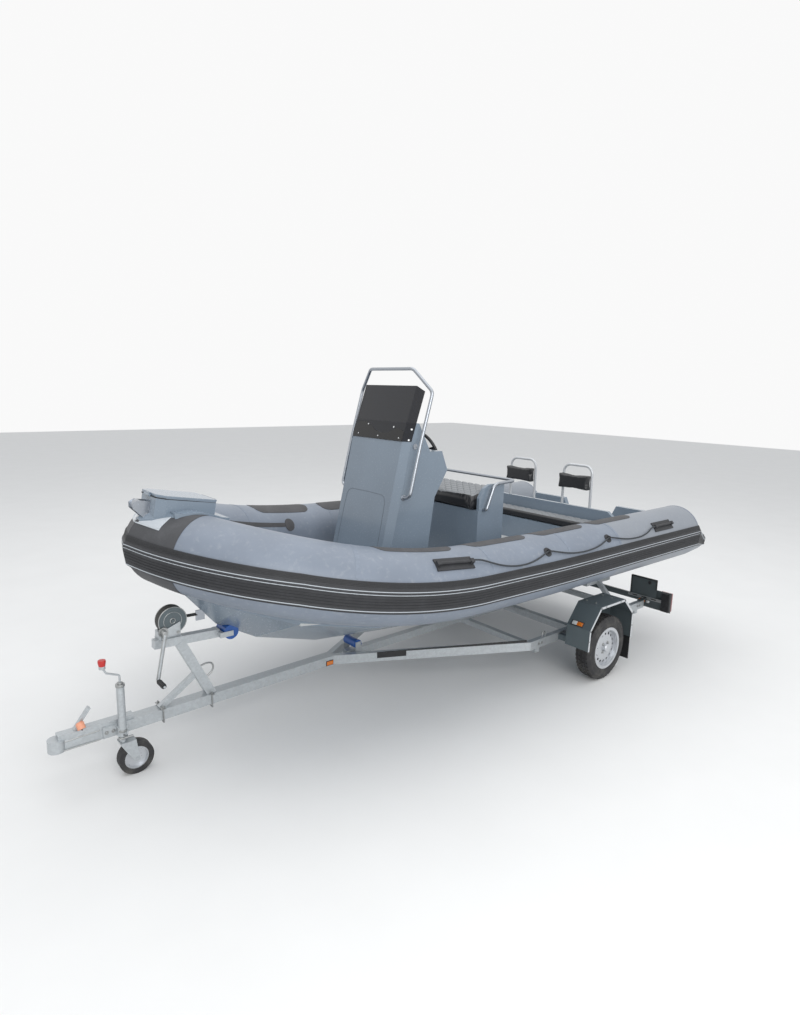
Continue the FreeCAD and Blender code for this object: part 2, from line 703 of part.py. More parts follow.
# The hinge is a pin between two round ears.
knuckle_radius = S.lid_pin + 3
hinge_parts = [disc("hinge_pin", "y", S.lid_pin, (hinge_x, -45, hinge_z), 90)]
for word, side in SIDES:
    hinge_parts.append(disc("hinge_ear_" + word, "y", knuckle_radius, (hinge_x, side * 38 - 7, hinge_z), 14))
    hinge_parts.append(block("hinge_foot_" + word, (S.locker_front_x - 3, hinge_x), (side * 38 - 7, side * 38 + 7),
                             (hinge_z - knuckle_radius, hinge_z)))
locker_form = tipped(fuse("locker_form", locker_box, locker_foot, *hinge_parts))
step_whole = fuse("step_whole", step_base, locker_form)
step_form = clear_of_tubes("bow_step", cut("step_hollow", step_whole, tipped(locker_hollow)))
node("bow_step", step_form)

lid_low = S.locker_top + S.running_gap
lid_slab = outline("lid_slab", "xy", locker_outline(2), lid_low, lid_low + S.lid_sheet)
lid_leaf = block("lid_leaf", (S.locker_front_x - 20, hinge_x + 3), (-30, 30), (lid_low, lid_low + S.lid_sheet - 2))
lid_knuckle = disc("lid_knuckle", "y", knuckle_radius, (hinge_x, -30, hinge_z), 60)
lid_bore = disc("lid_bore", "y", S.lid_pin + S.bearing_gap, (hinge_x, -31, hinge_z), 62)
node("bow_locker_lid", tipped(cut("lid_whole", fuse("lid_and_knuckle", lid_slab, lid_leaf, lid_knuckle), lid_bore)))

# The bow roller turns between two cheeks on a foot that stands on the skirt.
roller_z = S.nose_z + S.tube_radius + 28
roller_x = S.locker_front_x + 74
cheek_outline = [
    (S.locker_front_x + 8, roller_z - 80), (S.locker_front_x + 50, roller_z - 80), (roller_x + 38, roller_z - 18),
    (roller_x + 38, roller_z + 16), (roller_x + 8, roller_z + 32), (S.locker_front_x + 8, roller_z + 20),
]
roller_parts = [outline("roller_cheek_" + word, "xz", cheek_outline, side * 38 - 2.5, side * 38 + 2.5)
                for word, side in SIDES]
roller_parts.append(block("roller_base", (S.locker_front_x + 8, S.locker_front_x + 50), (-40.5, 40.5),
                          (roller_z - 80, roller_z - 36)))
roller_parts.append(disc("roller_wheel", "y", 30, (roller_x, -35.5, roller_z), 71))
roller_parts.append(disc("roller_pin", "y", 7, (roller_x, -44, roller_z), 88))
node("bow_roller", clear_of_tubes("bow_roller", cut("roller_on_step", fuse("roller_whole", *roller_parts), step_form)))

cleat_x = S.step_rear_x + 18
cleat_posts = [block("cleat_post_%d" % number, (cleat_x - 10, cleat_x + 10), (at_y - 8, at_y + 8),
                     (step_z - 2, step_z + 74)) for number, at_y in enumerate((-35, 35))]
cleat_bar = disc("cleat_bar", "y", 9, (cleat_x, -100, step_z + 80), 200)
cleat = tipped(fuse("cleat", cleat_bar, *cleat_posts))
# The bow eye on the stem, that the winch strap is hooked to.
eye_plate = cut("eye_plate", block("eye_blank", (S.bow_eye_x - 30, S.bow_eye_x + 30), (-6, 6), (880, 950)), hull_form)
node("bow_fittings", cut("cleat_on_step", cleat, step_form), eye_plate)

# Console, windscreen, hand rail and steering wheel

screen_top = S.console_knee + S.screen_rise
screen_slope = (S.console_front_top - S.screen_top_x) / S.screen_rise
brow_x = S.console_front_top - screen_slope * (S.console_top - S.console_knee)
console_side = [
    (S.console_front_low, S.deck_z), (S.console_front_top, S.console_knee), (brow_x, S.console_top),
    (S.console_rear_top, S.console_top), (S.notch_x + S.notch_depth, S.notch_z),
    (S.notch_x, S.notch_z), (S.peak_x, S.peak_z), (S.waist_x, S.waist_z),
    (S.console_rear_low, S.deck_z),
]
wall = S.console_wall
console_inside = [
    (S.console_front_low - wall, S.deck_z - 1), (S.console_front_top - wall, S.console_knee),
    (brow_x - wall, S.console_top - wall), (S.console_rear_top + wall / 2, S.console_top - wall),
    (S.notch_x + S.notch_depth + wall / 2, S.notch_z - wall),
    (S.notch_x + wall, S.notch_z - wall), (S.peak_x + wall, S.peak_z), (S.waist_x + wall, S.waist_z),
    (S.console_rear_low + wall, S.deck_z - 1),
]
console_block = outline("console_block", "xz", console_side, -S.console_half, S.console_half)
console_hollow = outline("console_hollow", "xz", console_inside, -S.console_half + wall, S.console_half - wall)


def console_corner(side, inset):
    """The wedge that the front corner's chamfer takes off, following the sloping front."""
    chamfer = float(S.console_chamfer)
    crease = float(S.console_crease) * side
    outer = (float(S.console_half) + 60) * side
    extra = float(S.console_half) + 60 - float(S.console_crease)
    back = chamfer * extra / (float(S.console_half) - float(S.console_crease))
    knee = float(S.console_knee)
    slope = (float(S.console_front_low) - float(S.console_front_top)) / (knee - float(S.deck_z))
    over = float(S.console_top) + 20
    front_line = (
        (float(S.deck_z) - 20, float(S.console_front_low) + slope * 20),
        (knee, float(S.console_front_top)),
        (over, float(S.console_front_top) - float(screen_slope) * (over - knee)),
    )
    faces = []
    for z, front in front_line:
        x = front - inset
        corners = [Vector(x, crease, z), Vector(x + 80, crease, z), Vector(x + 80, outer, z),
                   Vector(x - back, outer, z)]
        faces.append(Part.makePolygon(corners + corners[:1]))
    return Part.makeLoft(faces, True, True)


corner_cutters = [shape("console_corner_" + word, console_corner(side, 0)) for word, side in SIDES]
inner_cutters = [shape("console_inner_" + word, console_corner(side, 1.5 * float(S.console_wall)))
                 for word, side in SIDES]
console_outer = cut("console_outer", console_block, *corner_cutters)
console_room = cut("console_room", console_hollow, *inner_cutters)
node("console", cut("console_shell", console_outer, console_room))


def screen_solid():
    """The tinted screen: a front pane and two cheeks, folded along the console's creases."""
    base = float(S.console_knee)
    top = float(screen_top)
    low_x = float(S.console_front_top)
    high_x = float(S.screen_top_x)
    crease = float(S.console_crease)
    half = float(S.console_half)
    back = float(S.console_chamfer)
    sheet_thickness = float(S.screen_sheet)
    faces = []
    for z, x, reach in ((base, low_x, back), (top, high_x, back)):
        front = [Vector(x, -crease, z), Vector(x, crease, z)]
        side_port = Vector(x - reach, half, z)
        side_star = Vector(x - reach, -half, z)
        step = Vector(sheet_thickness, 0, 0)
        corners = [side_star, front[0], front[1], side_port,
                   side_port + step, front[1] + step, front[0] + step, side_star + step]
        faces.append(Part.makePolygon(corners + corners[:1]))
    return Part.makeLoft(faces, True, True)


# The cheeks' upper corners slope down from the crease.
screen_corners = []
for word, side in SIDES:
    corner = [(side * S.console_crease, screen_top), (side * (S.console_half + 20), screen_top - 55),
              (side * (S.console_half + 20), screen_top + 10), (side * S.console_crease, screen_top + 10)]
    screen_corners.append(outline("screen_corner_" + word, "yz", corner, S.screen_top_x - 100, S.screen_top_x + 40))
node("windscreen", cut("screen_trimmed", shape("screen_form", screen_solid()), *screen_corners))


def console_rail_solid():
    half = S.console_rail_half
    inset = S.hoop_corner
    port_leg = [
        (S.hoop_foot_x, S.console_half, S.hoop_foot_z), (S.hoop_foot_x, half, S.hoop_foot_z),
        (S.hoop_middle_x, half, S.hoop_middle_z), (S.hoop_shoulder_x, half, S.hoop_shoulder_z),
        (S.hoop_top_x, half - inset, S.console_rail_top),
    ]
    starboard_leg = [(x, -y, z) for x, y, z in reversed(port_leg)]
    bends = [0, 45, 300, 60, 60, 60, 60, 300, 45, 0]
    return rod_solid(points_of(port_leg + starboard_leg), float(S.rail_tube), bends)


node("console_rail", shape("console_rail_form", console_rail_solid()))


# The dash slopes from the shelf's corner down to the peak, and the column stands square on it.
DASH_TOP = Vector(float(S.notch_x), 0, float(S.notch_z))
DASH_FOOT = Vector(float(S.peak_x), 0, float(S.peak_z))
COLUMN = Vector(0, 1, 0).cross(DASH_FOOT - DASH_TOP).normalize()
HELM_HUB = (DASH_TOP + DASH_FOOT) / 2 + COLUMN * float(S.helm_reach)


def tilted(solid):
    """Turns a piece drawn round the vertical so that it stands on the dash, at the wheel's hub."""
    solid.Placement = FreeCAD.Placement(HELM_HUB, Rotation(Vector(0, 0, 1), COLUMN))
    return solid


def steering_wheel_solid():
    """Rim, three spokes and a hub."""
    radius = float(S.helm_radius)
    rim = Part.makeTorus(radius, float(S.helm_rim))
    hub = Part.makeCylinder(34, 30, Vector(0, 0, -18))
    spokes = []
    for angle in (75, 180, 285):
        spoke = Part.makeBox(radius - 20, 26, 6, Vector(14, -13, -3))
        spoke.rotate(Vector(), Vector(0, 0, 1), angle)
        spokes.append(spoke)
    return tilted(rim.fuse([hub] + spokes).removeSplitter())


node("steering_wheel", shape("steering_wheel_form", steering_wheel_solid()))
helm_shaft = shape("helm_shaft", tilted(Part.makeCylinder(24, 120, Vector(0, 0, -138 - float(S.running_gap)))))
node("helm_column", cut("helm_column_trimmed", helm_shaft, console_block))

# Helm seat

seat_box = block("seat_box", (S.seat_rear, S.seat_front), (-S.seat_half, S.seat_half), (S.deck_z, S.seat_z))
seat_inside = block("seat_inside", (S.seat_rear + 20, S.seat_front - 20),
                    (-S.seat_half + S.seat_panel, S.seat_half - S.seat_panel), (S.deck_z - 1, S.seat_z - 20))
seat_shell = cut("seat_shell", seat_box, seat_inside)
panel_outline = [
    (S.seat_rear, S.seat_z), (S.seat_front - 10, S.seat_z), (S.seat_front - 10, S.seat_z + 105),
    (S.seat_front - 60, S.seat_panel_top - 30), (S.seat_front - 130, S.seat_panel_top),
    (S.seat_rear, S.seat_panel_top),
]
seat_panels = []
for word, side in SIDES:
    inner = side * (S.seat_half - S.seat_panel)
    outer = side * S.seat_half
    low, high = (inner, outer) if side > 0 else (outer, inner)
    seat_panels.append(outline("seat_panel_" + word, "xz", panel_outline, low, high))
node("helm_seat", seat_shell, *seat_panels, joined=True)
cushion_half = S.seat_half - S.seat_panel - S.soft_gap
cushion_low = S.seat_z + S.soft_gap
cushion_front = S.seat_front + S.seat_overhang
cushion_outline = [
    (S.seat_rear + 8, cushion_low), (cushion_front, cushion_low), (cushion_front, cushion_low + S.seat_cushion - 16),
    (cushion_front - 25, cushion_low + S.seat_cushion), (S.seat_rear + 60, cushion_low + S.seat_cushion + S.seat_rise),
    (S.seat_rear + 8, cushion_low + S.seat_cushion + S.seat_rise),
]
node("helm_seat_cushion", outline("seat_cushion", "xz", cushion_outline, -cushion_half, cushion_half))


def seat_rail_solid():
    half = float(S.seat_half)
    out = half + 36
    front = float(S.seat_front) - 60
    rear = float(S.seat_rear) - 100
    low = float(S.seat_panel_top) - 205
    top = float(S.seat_panel_top) + 16
    route = [(front, half, low), (front, out, low), (front - 90, out, top - 10), (rear, out, top),
             (rear, -out, top), (front - 90, -out, top - 10), (front, -out, low), (front, -half, low)]
    return rod_solid(points_of(route), float(S.rail_tube), [0, 18, 70, 55, 55, 70, 18, 0])


node("helm_seat_rail", shape("seat_rail_form", seat_rail_solid()))

# Aft bench, bulkhead and backrests

bulkhead_front = -S.bulkhead_x + S.bulkhead_sheet / 2
bulkhead_rear = -S.bulkhead_x - S.bulkhead_sheet / 2
bulkhead_corners = [
    (-S.bench_half, S.deck_z), (S.bench_half, S.deck_z), (S.bench_half + 60, S.bulkhead_top - 45),
    (S.bench_half, S.bulkhead_top), (-S.bench_half, S.bulkhead_top), (-S.bench_half - 60, S.bulkhead_top - 45),
]
bulkhead_form = outline("bulkhead_form", "yz", bulkhead_corners, bulkhead_rear, bulkhead_front)
node("bulkhead", clear_of_tubes("bulkhead", bulkhead_form))
bench_box = block("bench_box", (bulkhead_front, -S.bench_front), (-S.bench_half, S.bench_half),
                  (S.deck_z, S.bench_z))
bench_inside = block("bench_inside", (bulkhead_front + S.bench_wall, -S.bench_front - S.bench_wall),
                     (-S.bench_half + 60, S.bench_half - 60), (S.deck_z - 1, S.bench_z - S.bench_wall))
node("aft_bench", clear_of_tubes("aft_bench", cut("bench_shell", bench_box, bench_inside)))
bench_cushion_half = S.bench_half - 30
bench_cushion = block("bench_cushion", (bulkhead_front + S.soft_gap, -S.bench_front + 10),
                      (-bench_cushion_half, bench_cushion_half),
                      (S.bench_z + S.soft_gap, S.bench_z + S.soft_gap + S.bench_cushion))
node("aft_bench_cushion", clear_of_tubes("bench_cushion", bench_cushion))


def backrest_frame(middle):
    half = float(S.backrest_half)
    x = -float(S.bulkhead_x)
    low = float(S.bulkhead_top)
    top = float(S.backrest_top)
    route = [(x, middle - half, low), (x, middle - half, top), (x, middle + half, top), (x, middle + half, low)]
    return rod_solid([Vector(*point) for point in route], 13, 75)


frames = [shape("backrest_frame_" + word, backrest_frame(float(S.backrest_y) * side)) for word, side in SIDES]
node("backrest_frames", *frames)
pads = []
for word, side in SIDES:
    middle = S.backrest_y * side
    pads.append(block("backrest_pad_" + word,
                      (-S.bulkhead_x + 13 + S.soft_gap, -S.bulkhead_x + 13 + S.soft_gap + S.backrest_pad_sheet),
                      (middle - S.backrest_half - 10, middle + S.backrest_half + 10),
                      (S.backrest_top - 80 - S.backrest_pad, S.backrest_top - 80)))
node("backrest_pads", *pads)

# Grab lines and their fittings on the tubes

# The line's route on the port side: x, degrees above the tube's middle, distance from the tube's axis.
LINE_ROUTE = [
    (1696, 48, 274),
    (1640, 47.5, 272),
    (1560, 41, 266),
    (1470, 33.5, 264),
    (1365, 28.5, 263),
    (1245, 26.5, 263),
    (1125, 28.5, 263),
    (1015, 34, 265),
    (920, 41, 268),
    (815, 35.5, 265),
    (690, 29.5, 263),
    (555, 26.5, 263),
    (420, 26.5, 263),
    (290, 29.5, 263),
    (195, 35, 265),
    (120, 40.5, 268),
    (30, 36.5, 265),
    (-90, 31, 263),
    (-220, 28, 263),
    (-355, 28, 263),
    (-475, 32.5, 264),
    (-550, 40, 271),
    (-610, 40, 271),
]
# Handles and eyes: place along the boat, and degrees above the tube's middle.
HANDLE_PLACES = ((1853, 48), (-765, 40))
HANDLE_LENGTH = 310
EYE_PLACES = ((920, 40), (120, 40))


def tube_middle(x, side):
    """The centre of the tube at a given x, and the direction it runs in there."""
    for edge in tube_path(side).Edges:
        low, high = edge.ParameterRange
        if not edge.valueAt(low).x <= x <= edge.valueAt(high).x:
            continue
        for _ in range(40):
            middle = (low + high) / 2
            if edge.valueAt(middle).x < x:
                low = middle
            else:
                high = middle
        return edge.valueAt(middle), edge.tangentAt(middle)
    return Vector(x, side * float(S.tube_y), float(S.tube_z)), Vector(1, 0, 0)


def on_tube(x, side, degrees, distance):
    """A point beside the tube, at an angle above its middle and a distance from its centre."""
    angle = math.radians(degrees)
    return tube_middle(x, side)[0] + Vector(0, side * distance * math.cos(angle), distance * math.sin(angle))


def standing(solid, x, degrees, side):
    """Stands a piece drawn over the origin on the tube, where the fittings are."""
    middle, along = tube_middle(x, side)
    outward = on_tube(x, side, degrees, 1) - middle
    outward = (outward - along * outward.dot(along)).normalize()
    foot = middle + outward * float(S.tube_radius)
    solid.Placement = FreeCAD.Placement(foot, Rotation(along, Vector(), outward, "ZXY"))
    return solid


def fitted(patch):
    """Hollows a patch's underside to the tube's curve."""
    radius = float(S.tube_radius) + 0.1
    return patch.cut(Part.makeCylinder(radius, 2 * HANDLE_LENGTH, Vector(-HANDLE_LENGTH, 0, 0.1 - radius), Vector(1, 0, 0)))


def handle_solid(x, degrees, side):
    """A long patch with a raised bar between two bosses; the line leaves the boss at its inner end."""
    patch = fitted(Part.makeBox(HANDLE_LENGTH, 90, 16, Vector(-HANDLE_LENGTH / 2, -45, -10)))
    bosses = [Part.makeBox(30, 30, 30, Vector(end * (HANDLE_LENGTH / 2 - 15) - 15, -15, 2)) for end in (-1, 1)]
    grip = Part.makeCylinder(10, HANDLE_LENGTH - 40, Vector(-HANDLE_LENGTH / 2 + 20, 0, 20), Vector(1, 0, 0))
    return standing(patch.fuse(bosses + [grip]), x, degrees, side)


def eye_solid(x, degrees, side):
    """A round patch with a lug that the line runs through."""
    patch = fitted(Part.makeCylinder(36, 15, Vector(0, 0, -10)))
    lug = Part.makeBox(10, 28, 16, Vector(-5, -14, 2)).fuse(Part.makeCylinder(14, 10, Vector(-5, 0, 18), Vector(1, 0, 0)))
    hole = Part.makeCylinder(9, 12, Vector(-6, 0, 18), Vector(1, 0, 0))
    return standing(patch.fuse(lug).cut(hole), x, degrees, side)


for word, side in SIDES:
    solids = [handle_solid(x, degrees, side) for x, degrees in HANDLE_PLACES]
    solids += [eye_solid(x, degrees, side) for x, degrees in EYE_PLACES]
    pieces = [shape("fitting_%s_%d" % (word, number), solid) for number, solid in enumerate(solids)]
    node("line_fittings_" + word, *pieces)


def line_solid(side):
    """The grab line: straight runs joined by arcs as large as the runs allow."""
    points = [on_tube(x, side, degrees, distance) for x, degrees, distance in LINE_ROUTE]
    bends = [0]
    for before, here, after in zip(points, points[1:], points[2:]):
        half_turn = (math.pi - (before - here).getAngle(after - here)) / 2
        shorter = min((before - here).Length, (after - here).Length)
        bends.append(0.45 * shorter / math.tan(half_turn))
    path = rounded_route(points, bends + [0])
    print("grab line: length %.0f, tightest radius %.0f" % (path.Length, min(bends[1:])))
    circle = Part.Wire(Part.makeCircle(float(S.line_radius), points[0], points[1] - points[0]))
    solid = path.makePipeShell([circle], True, True)
    print("grab line volume ratio %.4f" % (solid.Volume / (math.pi * float(S.line_radius) ** 2 * path.Length)))
    return solid


for word, side in SIDES:
    node("lifeline_" + word, shape("lifeline_form_" + word, line_solid(side)))

# Trailer frame


def rail_route(side):
    inner = S.rail_width / 2 + 0.5
    return [(S.rail_front_x, inner * side, S.rail_front_z), (S.rail_bend_x, inner * side, S.rail_bend_z),
            (S.rail_side_x, S.rail_side_y * side, S.rail_rear_z),
            (-S.rail_rear_x, S.rail_side_y * side, S.rail_rear_z)]


for word, side in SIDES:
    node("rail_" + word, beam("rail_form_" + word, rail_route(side), S.rail_width, S.rail_height))

cross_low = S.rail_rear_z - S.rail_height / 2 - S.cross_size
cross_top = cross_low + S.cross_size
cross_bars = [block("cross_" + word, (at_x - S.cross_size / 2, at_x + S.cross_size / 2),
                    (-S.rail_side_y, S.rail_side_y), (cross_low, cross_top))
              for word, at_x in (("front", S.cross_front_x), ("rear", -S.cross_rear_x))]
node("cross_members", *cross_bars)

rails_tool = fuse("rails_tool", *[beam("rail_tool_" + word, rail_route(side), S.rail_width, S.rail_height)
                                  for word, side in SIDES])
keel_beam_z = cross_top + S.keel_beam_height / 2
keel_beam_form = beam("keel_beam_form", [(S.rail_bend_x - 140, 0, S.rail_bend_z), (S.cross_front_x + 80, 0, keel_beam_z),
                                         (-S.keel_beam_rear, 0, keel_beam_z)],
                      S.keel_beam_width, S.keel_beam_height)
keel_beam_bar = cut("keel_beam_bar", keel_beam_form, rails_tool)

# Each keel roller turns on a pin between two cheeks that stand beside the middle beam.
keel_axis_z = S.keel_z - S.keel_roller_radius
roller_half = S.roller_length / 2
roller_brackets = []
roller_forms = []
for word, at_x in (("front", S.keel_roller_x), ("rear", -S.rear_roller_x)):
    for side_word, side in SIDES:
        near = S.keel_beam_width / 2
        far = roller_half + 7
        low, high = (near, far) if side > 0 else (-far, -near)
        roller_brackets.append(block("roller_foot_%s_%s" % (word, side_word), (at_x - 25, at_x + 25), (low, high),
                                     (keel_beam_z - 15, keel_beam_z - 9)))
        low, high = (far - 6, far) if side > 0 else (-far, 6 - far)
        roller_brackets.append(block("roller_cheek_%s_%s" % (word, side_word), (at_x - 25, at_x + 25), (low, high),
                                     (keel_beam_z - 15, keel_axis_z + 20)))
    roller_brackets.append(disc("roller_pin_" + word, "y", 8, (at_x, -roller_half - 7, keel_axis_z),
                                2 * roller_half + 14))
    roller_forms.append(cut("keel_roller_" + word,
                            disc("keel_roller_form_" + word, "y", S.keel_roller_radius, (at_x, -roller_half, keel_axis_z),
                                 S.roller_length),
                            disc("keel_roller_bore_" + word, "y", 8, (at_x, -roller_half - 1, keel_axis_z),
                                 S.roller_length + 2)))
node("keel_beam", keel_beam_bar, *roller_brackets, joined=True)
node("keel_rollers", *roller_forms)

axle_bar = block("axle_bar", (-S.axle_size / 2 - 120, S.axle_size / 2 - 120), (-S.axle_y, S.axle_y),
                 (cross_top - S.axle_size, cross_top))
axle_pieces = [axle_bar]
stub_end = S.wheel_y - S.tyre_width / 2 + S.rim_dish
for word, side in SIDES:
    low, high = (S.axle_y, S.axle_y + S.arm_width)
    if side < 0:
        low, high = -high, -low
    axle_pieces.append(block("trailing_arm_" + word, (-150, 32), (low, high),
                             (S.tyre_radius - 36, S.tyre_radius + 24)))
    stub_low, stub_high = (S.axle_y, S.wheel_y + 20)
    if side < 0:
        stub_low, stub_high = -stub_high, -stub_low
    axle_pieces.append(disc("stub_" + word, "y", S.hub_bore, (0, stub_low, S.tyre_radius), stub_high - stub_low))
node("axle", *axle_pieces, joined=True)

# Road wheels


def revolved(profile, centre):
    """A wheel form: a profile of (radius, across) points turned about the wheel's axis."""
    corners = [Vector(centre.x, centre.y + across, centre.z + radius) for radius, across in profile]
    face = Part.Face(Part.makePolygon(corners + corners[:1]))
    return face.revolve(centre, Vector(0, 1, 0), 360)


for word, side in SIDES:
    centre = Vector(0, side * float(S.wheel_y), float(S.tyre_radius))
    half = float(S.tyre_width) / 2
    rounding = float(S.tyre_corner)
    rim = float(S.rim_radius)
    tread = float(S.tyre_radius)
    flange = float(S.rim_flange)
    plate = float(S.rim_plate)
    bead = half - 14
    tyre_profile = [(rim, -bead), (flange + 2, -bead), (tread - rounding * 1.6, -half), (tread - rounding * 0.5, -half + 6),
                    (tread, -half + rounding), (tread, half - rounding), (tread - rounding * 0.5, half - 6),
                    (tread - rounding * 1.6, half), (flange + 2, bead), (rim, bead)]
    node("tyre_" + word, shape("tyre_form_" + word, revolved(tyre_profile, centre)))
    barrel = rim - float(S.rim_wall)
    edge = bead
    out = side
    disc_at = (half - float(S.rim_dish)) * out
    barrel_form = revolved([(rim, -edge), (rim, edge), (barrel, edge), (barrel, -edge)], centre)
    flange_forms = [revolved([(rim, s * edge), (flange, s * edge), (flange, s * (edge + 9)), (barrel, s * (edge + 9)),
                              (barrel, s * edge)], centre) for s in (1, -1)]
    disc_form = revolved([(barrel + 1, disc_at), (barrel + 1, disc_at - out * 7), (plate, disc_at + out * 7),
                          (plate, disc_at + out * 12)], centre)
    plate_form = revolved([(plate + 2, disc_at + out * 12), (plate + 2, disc_at + out * 5), (float(S.hub_bore) + 0.05, disc_at + out * 5),
                           (float(S.hub_bore) + 0.05, disc_at + out * 12)], centre)
    hub_in = -half * out
    hub_form = revolved([(float(S.hub_radius), disc_at + out * 6), (float(S.hub_radius), hub_in + out * 20),
                         (float(S.hub_bore) + float(S.bearing_gap), hub_in + out * 20),
                         (float(S.hub_bore) + float(S.bearing_gap), disc_at + out * 6)], centre)
    cap_radius = float(S.hub_bore) + 4
    cap_form = revolved([(cap_radius, disc_at + out * 5), (cap_radius, disc_at + out * 34),
                         (cap_radius - 5, disc_at + out * 40), (0, disc_at + out * 40), (0, disc_at + out * 5)], centre)
    whole = barrel_form.fuse(flange_forms + [disc_form, plate_form, hub_form, cap_form]).removeSplitter()
    holes = []
    for number in range(int(float(S.rim_vents))):
        angle = 2 * math.pi * number / int(float(S.rim_vents))
        spot = centre + Vector(float(S.vent_circle) * math.cos(angle), -100, float(S.vent_circle) * math.sin(angle))
        holes.append(Part.makeCylinder(float(S.vent_radius), 200, spot, Vector(0, 1, 0)))
    node("rim_" + word, shape("rim_form_" + word, whole.cut(Part.makeCompound(holes))))

# Mudguards

guard_top = S.guard_top_z
guard_line = [
    (S.guard_front_x, S.guard_front_z), (S.guard_front_x - 8, guard_top - S.guard_corner - 25),
    (S.guard_front_x - S.guard_corner, guard_top), (-S.guard_rear_x + S.guard_corner, guard_top),
    (-S.guard_rear_x, guard_top - S.guard_corner), (-S.guard_rear_x, S.guard_rear_z),
]
t = S.guard_sheet
guard_inside = [
    (-S.guard_rear_x + t, S.guard_rear_z), (-S.guard_rear_x + t, guard_top - S.guard_corner),
    (-S.guard_rear_x + S.guard_corner, guard_top - t), (S.guard_front_x - S.guard_corner, guard_top - t),
    (S.guard_front_x - 8 - t, guard_top - S.guard_corner - 25), (S.guard_front_x - t, S.guard_front_z),
]
deep = S.guard_lip
lip_inside = [
    (-S.guard_rear_x + deep, S.guard_rear_z), (-S.guard_rear_x + deep, guard_top - S.guard_corner - 7),
    (-S.guard_rear_x + S.guard_corner + 7, guard_top - deep), (S.guard_front_x - S.guard_corner - 7, guard_top - deep),
    (S.guard_front_x - 8 - deep, guard_top - S.guard_corner - 32), (S.guard_front_x - deep, S.guard_front_z),
]
for word, side in SIDES:
    low, high = (S.guard_inner_y, S.guard_outer_y)
    if side < 0:
        low, high = -high, -low
    strip = outline("guard_strip_" + word, "xz", guard_line + guard_inside, low, high)
    web_low, web_high = (S.guard_inner_y, S.guard_inner_y + S.guard_sheet)
    lip_low, lip_high = (S.guard_outer_y - S.guard_sheet, S.guard_outer_y)
    if side < 0:
        web_low, web_high = -web_high, -web_low
        lip_low, lip_high = -lip_high, -lip_low
    lip = outline("guard_lip_" + word, "xz", guard_line + lip_inside, lip_low, lip_high)
    web = outline("guard_web_" + word, "xz", guard_line, web_low, web_high)
    arch = disc("guard_arch_" + word, "y", S.rim_flange + 30, (0, web_low - 1, S.tyre_radius), t + 2)
    bracket_low, bracket_high = (S.rail_side_y + S.rail_width / 2, S.guard_inner_y)
    if side < 0:
        bracket_low, bracket_high = -bracket_high, -bracket_low
    brackets = [block("guard_bracket_%s_%d" % (word, number), (at_x - 20, at_x + 20), (bracket_low, bracket_high),
                      (S.rail_rear_z - 25, S.rail_rear_z + 25)) for number, at_x in enumerate((250, -330))]
    node("mudguard_" + word, strip, lip, cut("guard_web_cut_" + word, web, arch), *brackets, joined=True)
    flap_low, flap_high = (S.guard_inner_y + 20, S.guard_outer_y - 15)
    if side < 0:
        flap_low, flap_high = -flap_high, -flap_low
    flap = block("flap_" + word, (-S.guard_rear_x - S.flap_sheet, -S.guard_rear_x), (flap_low, flap_high),
                 (S.flap_low_z, S.guard_rear_z + 120))
    node("mud_flap_" + word, flap)

# Coupling

coupling_body = block("coupling_body", (S.rail_front_x - 190, S.coupling_nose_x - 55),
                      (-S.coupling_width / 2, S.coupling_width / 2),
                      (S.rail_front_z + S.rail_height / 2, S.rail_front_z + S.rail_height / 2 + 26))
coupling_neck = block("coupling_neck", (S.rail_front_x, S.coupling_nose_x - 55),
                      (-S.coupling_width / 2, S.coupling_width / 2),
                      (S.coupling_z - 30, S.rail_front_z + S.rail_height / 2 + 2))
coupling_head = disc("coupling_head", "z", 50, (S.coupling_nose_x - 50, 0, S.coupling_z - 30), 74)
ball_socket = disc("ball_socket", "z", S.ball_radius, (S.coupling_nose_x - 50, 0, S.coupling_z - 31), 52)
neck_hollow = block("neck_hollow", (S.rail_front_x + 14, S.coupling_nose_x - 105), (-24, 24),
                    (S.coupling_z - 31, S.coupling_z + 20))
coupling_whole = fuse("coupling_whole", coupling_body, coupling_neck, coupling_head)
coupling_cut = cut("coupling_cut", coupling_whole, ball_socket, neck_hollow, rails_tool)
handle_low = S.rail_front_z + S.rail_height / 2 + 24
handle = beam("coupling_handle", [(S.coupling_nose_x - 150, 0, handle_low), (S.coupling_nose_x - 240, 0, handle_low + 120)],
              34, 16)
node("coupling", fuse("coupling_and_handle", coupling_cut, handle))

# Jockey stand

jx = S.jockey_x
jy = S.jockey_y
tube_part = ring("jockey_outer", "z", S.jockey_tube_radius, S.jockey_leg_radius + S.bearing_gap,
                 (jx, jy, S.jockey_tube_low), S.jockey_tube_top - S.jockey_tube_low)
clamp_low = S.rail_front_z - 30
clamp_block = block("jockey_clamp_block", (jx - 30, jx + 30), (S.rail_width + 0.5, jy + 12), (clamp_low, clamp_low + 60))
clamp_bore = disc("jockey_clamp_bore", "z", S.jockey_tube_radius - 1, (jx, jy, clamp_low - 1), 62)
top_cap = disc("jockey_top_cap", "z", S.jockey_tube_radius, (jx, jy, S.jockey_tube_top), 10)
node("jockey_tube", fuse("jockey_tube_whole", tube_part, top_cap, cut("jockey_clamp", clamp_block, clamp_bore)))

crank_top = S.jockey_tube_top + 10
crank_rod = rod("jockey_crank_rod", [(jx, jy, crank_top), (jx, jy, crank_top + 60), (jx + 75, jy, crank_top + 92),
                                     (jx + 95, jy, crank_top + 130)], 6, 14)
crank_knob = disc("jockey_crank_knob", "z", 19, (jx + 95, jy, crank_top + 126), 52)
node("jockey_crank", fuse("jockey_crank_whole", crank_rod, crank_knob))

